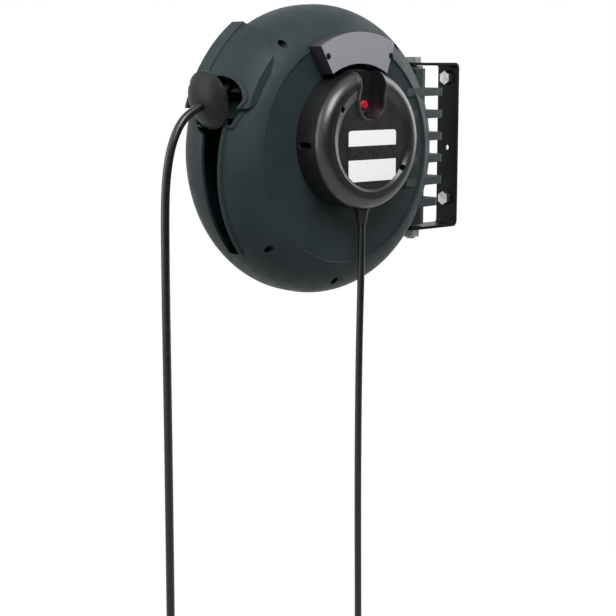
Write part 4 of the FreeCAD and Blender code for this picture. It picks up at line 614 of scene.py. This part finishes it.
# %% [markdown]
# ## The pawl's spring
# A little torsion spring of round wire presses the pawl into the ratchet. Screw could wind it from a circle,
# but the helper that draws the cords makes it from places on a helix, so no other tool is needed.

# %% The pawl's spring
pawl_reach, pawl_swing = 102.0, math.radians(60)
pawl_spring_radius, pawl_spring_wire, pawl_spring_pitch, pawl_spring_turns = 2.9, 0.8, 1.3, 3
pawl_spring_rear, wire_steps, wire_fine = 41.9, 12, 4
wire_points = []
for step in range(wire_steps * pawl_spring_turns + 1):
    swing = 2 * math.pi * step / wire_steps
    wire_points.append(reel_point(pawl_reach * math.cos(pawl_swing) + pawl_spring_radius * math.cos(swing),
                                  pawl_reach * math.sin(pawl_swing) + pawl_spring_radius * math.sin(swing),
                                  pawl_spring_rear + pawl_spring_pitch * step / wire_steps))
pawl_coil = cord_line("pawl_coil", wire_points, pawl_spring_wire / 2, wire_fine)
dress(pawl_coil, spring_steel)
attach(pawl_coil, frame_body["pawl_spring"])
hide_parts("pawl_spring")
print("pawl's spring:", pawl_spring_turns, "turns of", pawl_spring_wire, "mm wire")

# %% [markdown]
# ## White world
# The reel hangs in front of plain white. A bright world would do that, but it would also wash out the dark
# plastics. So the world lights the reel only a little, and a Light Path node makes it white to the camera
# and to what glossy and clear surfaces mirror or let through.

# %% White world


def seen_or_mirrored(tree):
    """1 for a ray from the camera or from a glossy or clear surface, 0 for a ray of light."""
    rays = tree.nodes.new("ShaderNodeLightPath")
    total = rays.outputs["Is Camera Ray"]
    for kind in ("Is Glossy Ray", "Is Transmission Ray"):
        either = tree.nodes.new("ShaderNodeMath")
        either.operation = "MAXIMUM"
        tree.links.new(total, either.inputs[0])
        tree.links.new(rays.outputs[kind], either.inputs[1])
        total = either.outputs["Value"]
    return total


white = (1, 1, 1, 1)
ambient, backdrop = 0.10, 1.0
world = bpy.data.worlds.new("white_room")
bpy.context.scene.world = world
world.use_nodes = True
world_tree = world.node_tree
room_light = world_tree.nodes["Background"]
room_light.inputs["Color"].default_value = white
room_light.inputs["Strength"].default_value = ambient
seen_white = world_tree.nodes.new("ShaderNodeBackground")
seen_white.inputs["Color"].default_value = white
seen_white.inputs["Strength"].default_value = backdrop
blend_white = world_tree.nodes.new("ShaderNodeMixShader")
world_tree.links.new(seen_or_mirrored(world_tree), blend_white.inputs["Fac"])
world_tree.links.new(room_light.outputs["Background"], blend_white.inputs[1])
world_tree.links.new(seen_white.outputs["Background"], blend_white.inputs[2])
world_tree.links.new(blend_white.outputs["Shader"], world_tree.nodes["World Output"].inputs["Surface"])
print("room light", ambient, "background", backdrop)

# %% [markdown]
# ## Floor
# A wide floor lies under the ends of the cords. To the camera and to reflections it mostly glows white, with
# a little of its grey surface mixed in so that it keeps the reel's shadow. To all other light it is grey.

# %% Floor
floor_size, floor_drop, floor_share, floor_glow = 60, 0.86, 0.9, 1.10
floor_grey, floor_rough = (0.5, 0.5, 0.5), 0.8
bpy.ops.object.select_all(action="DESELECT")
bpy.ops.mesh.primitive_plane_add(size=floor_size, location=(0, 0, reel_axis.z - floor_drop))
floor = bpy.context.object
floor.name = "floor"
floor_finish, floor_tree, floor_surface = new_finish("floor_white", floor_grey, floor_rough)
glow = floor_tree.nodes.new("ShaderNodeEmission")
glow.inputs["Strength"].default_value = floor_glow
share = floor_tree.nodes.new("ShaderNodeMath")
share.operation = "MULTIPLY"
share.inputs[1].default_value = floor_share
floor_mix = floor_tree.nodes.new("ShaderNodeMixShader")
floor_tree.links.new(seen_or_mirrored(floor_tree), share.inputs[0])
floor_tree.links.new(share.outputs["Value"], floor_mix.inputs["Fac"])
floor_tree.links.new(floor_surface.outputs["BSDF"], floor_mix.inputs[1])
floor_tree.links.new(glow.outputs["Emission"], floor_mix.inputs[2])
floor_tree.links.new(floor_mix.outputs["Shader"], floor_tree.nodes["Material Output"].inputs["Surface"])
dress(floor, floor_finish)
print("floor at", round(floor.location.z, 3))

# %% [markdown]
# ## Black screen
# Dark glossy plastic looks like what it mirrors. A black screen stands behind the camera, where only
# reflections see it, as a photographer's flag would. Without it the front mirrors white and looks grey.

# %% Black screen behind the camera
bpy.ops.object.select_all(action="DESELECT")
screen_place, screen_width, screen_height = (0.3, -2.3, 0.2), 7.4, 2.4
bpy.ops.mesh.primitive_plane_add(size=1, location=screen_place, rotation=(math.pi / 2, 0, 0))
black_screen = bpy.context.object
black_screen.name = "black_screen"
black_screen.scale = (screen_width, screen_height, 1)
screen_finish, _, screen_surface = new_finish("screen_black", (0.0, 0.0, 0.0), 1.0)
screen_surface.inputs["Specular IOR Level"].default_value = 0.0
dress(black_screen, screen_finish)
black_screen.visible_camera = False
black_screen.visible_diffuse = False
black_screen.visible_shadow = False
black_screen.visible_transmission = False
print("black screen:", screen_width, "by", screen_height, "m")

# %% [markdown]
# ## Lamps
# A lamp above and in front gives the soft fall from light at the top to dark below. Two tall lamps, one from
# the left and one from the right, put the long highlights on the hub and the cords. All are area lamps,
# because a small bulb would make hard spots instead.

# %% Lamps


def soft_lamp(name, place, aim, width, height, watts):
    """A rectangular lamp at place that looks at aim."""
    bpy.ops.object.light_add(type="AREA", location=place)
    lamp = bpy.context.object
    lamp.name = name
    lamp.data.shape = "RECTANGLE"
    lamp.data.size = width
    lamp.data.size_y = height
    lamp.data.energy = watts
    lamp.rotation_euler = (Vector(aim) - Vector(place)).to_track_quat("-Z", "Y").to_euler()


lamps = [
    ("main_lamp", (-0.65, -0.75, 0.85), 0.7, 0.7, 19),
    ("left_lamp", (-1.45, 0.55, 0.35), 0.8, 1.4, 14),
    ("right_lamp", (1.15, -0.35, 0.45), 0.8, 1.2, 11),
]
for lamp_name, lamp_place, lamp_width, lamp_height, lamp_watts in lamps:
    soft_lamp(lamp_name, lamp_place, reel_axis, lamp_width, lamp_height, lamp_watts)
print("lamps:", len(lamps))

bpy.context.scene.view_settings.view_transform = "Standard"
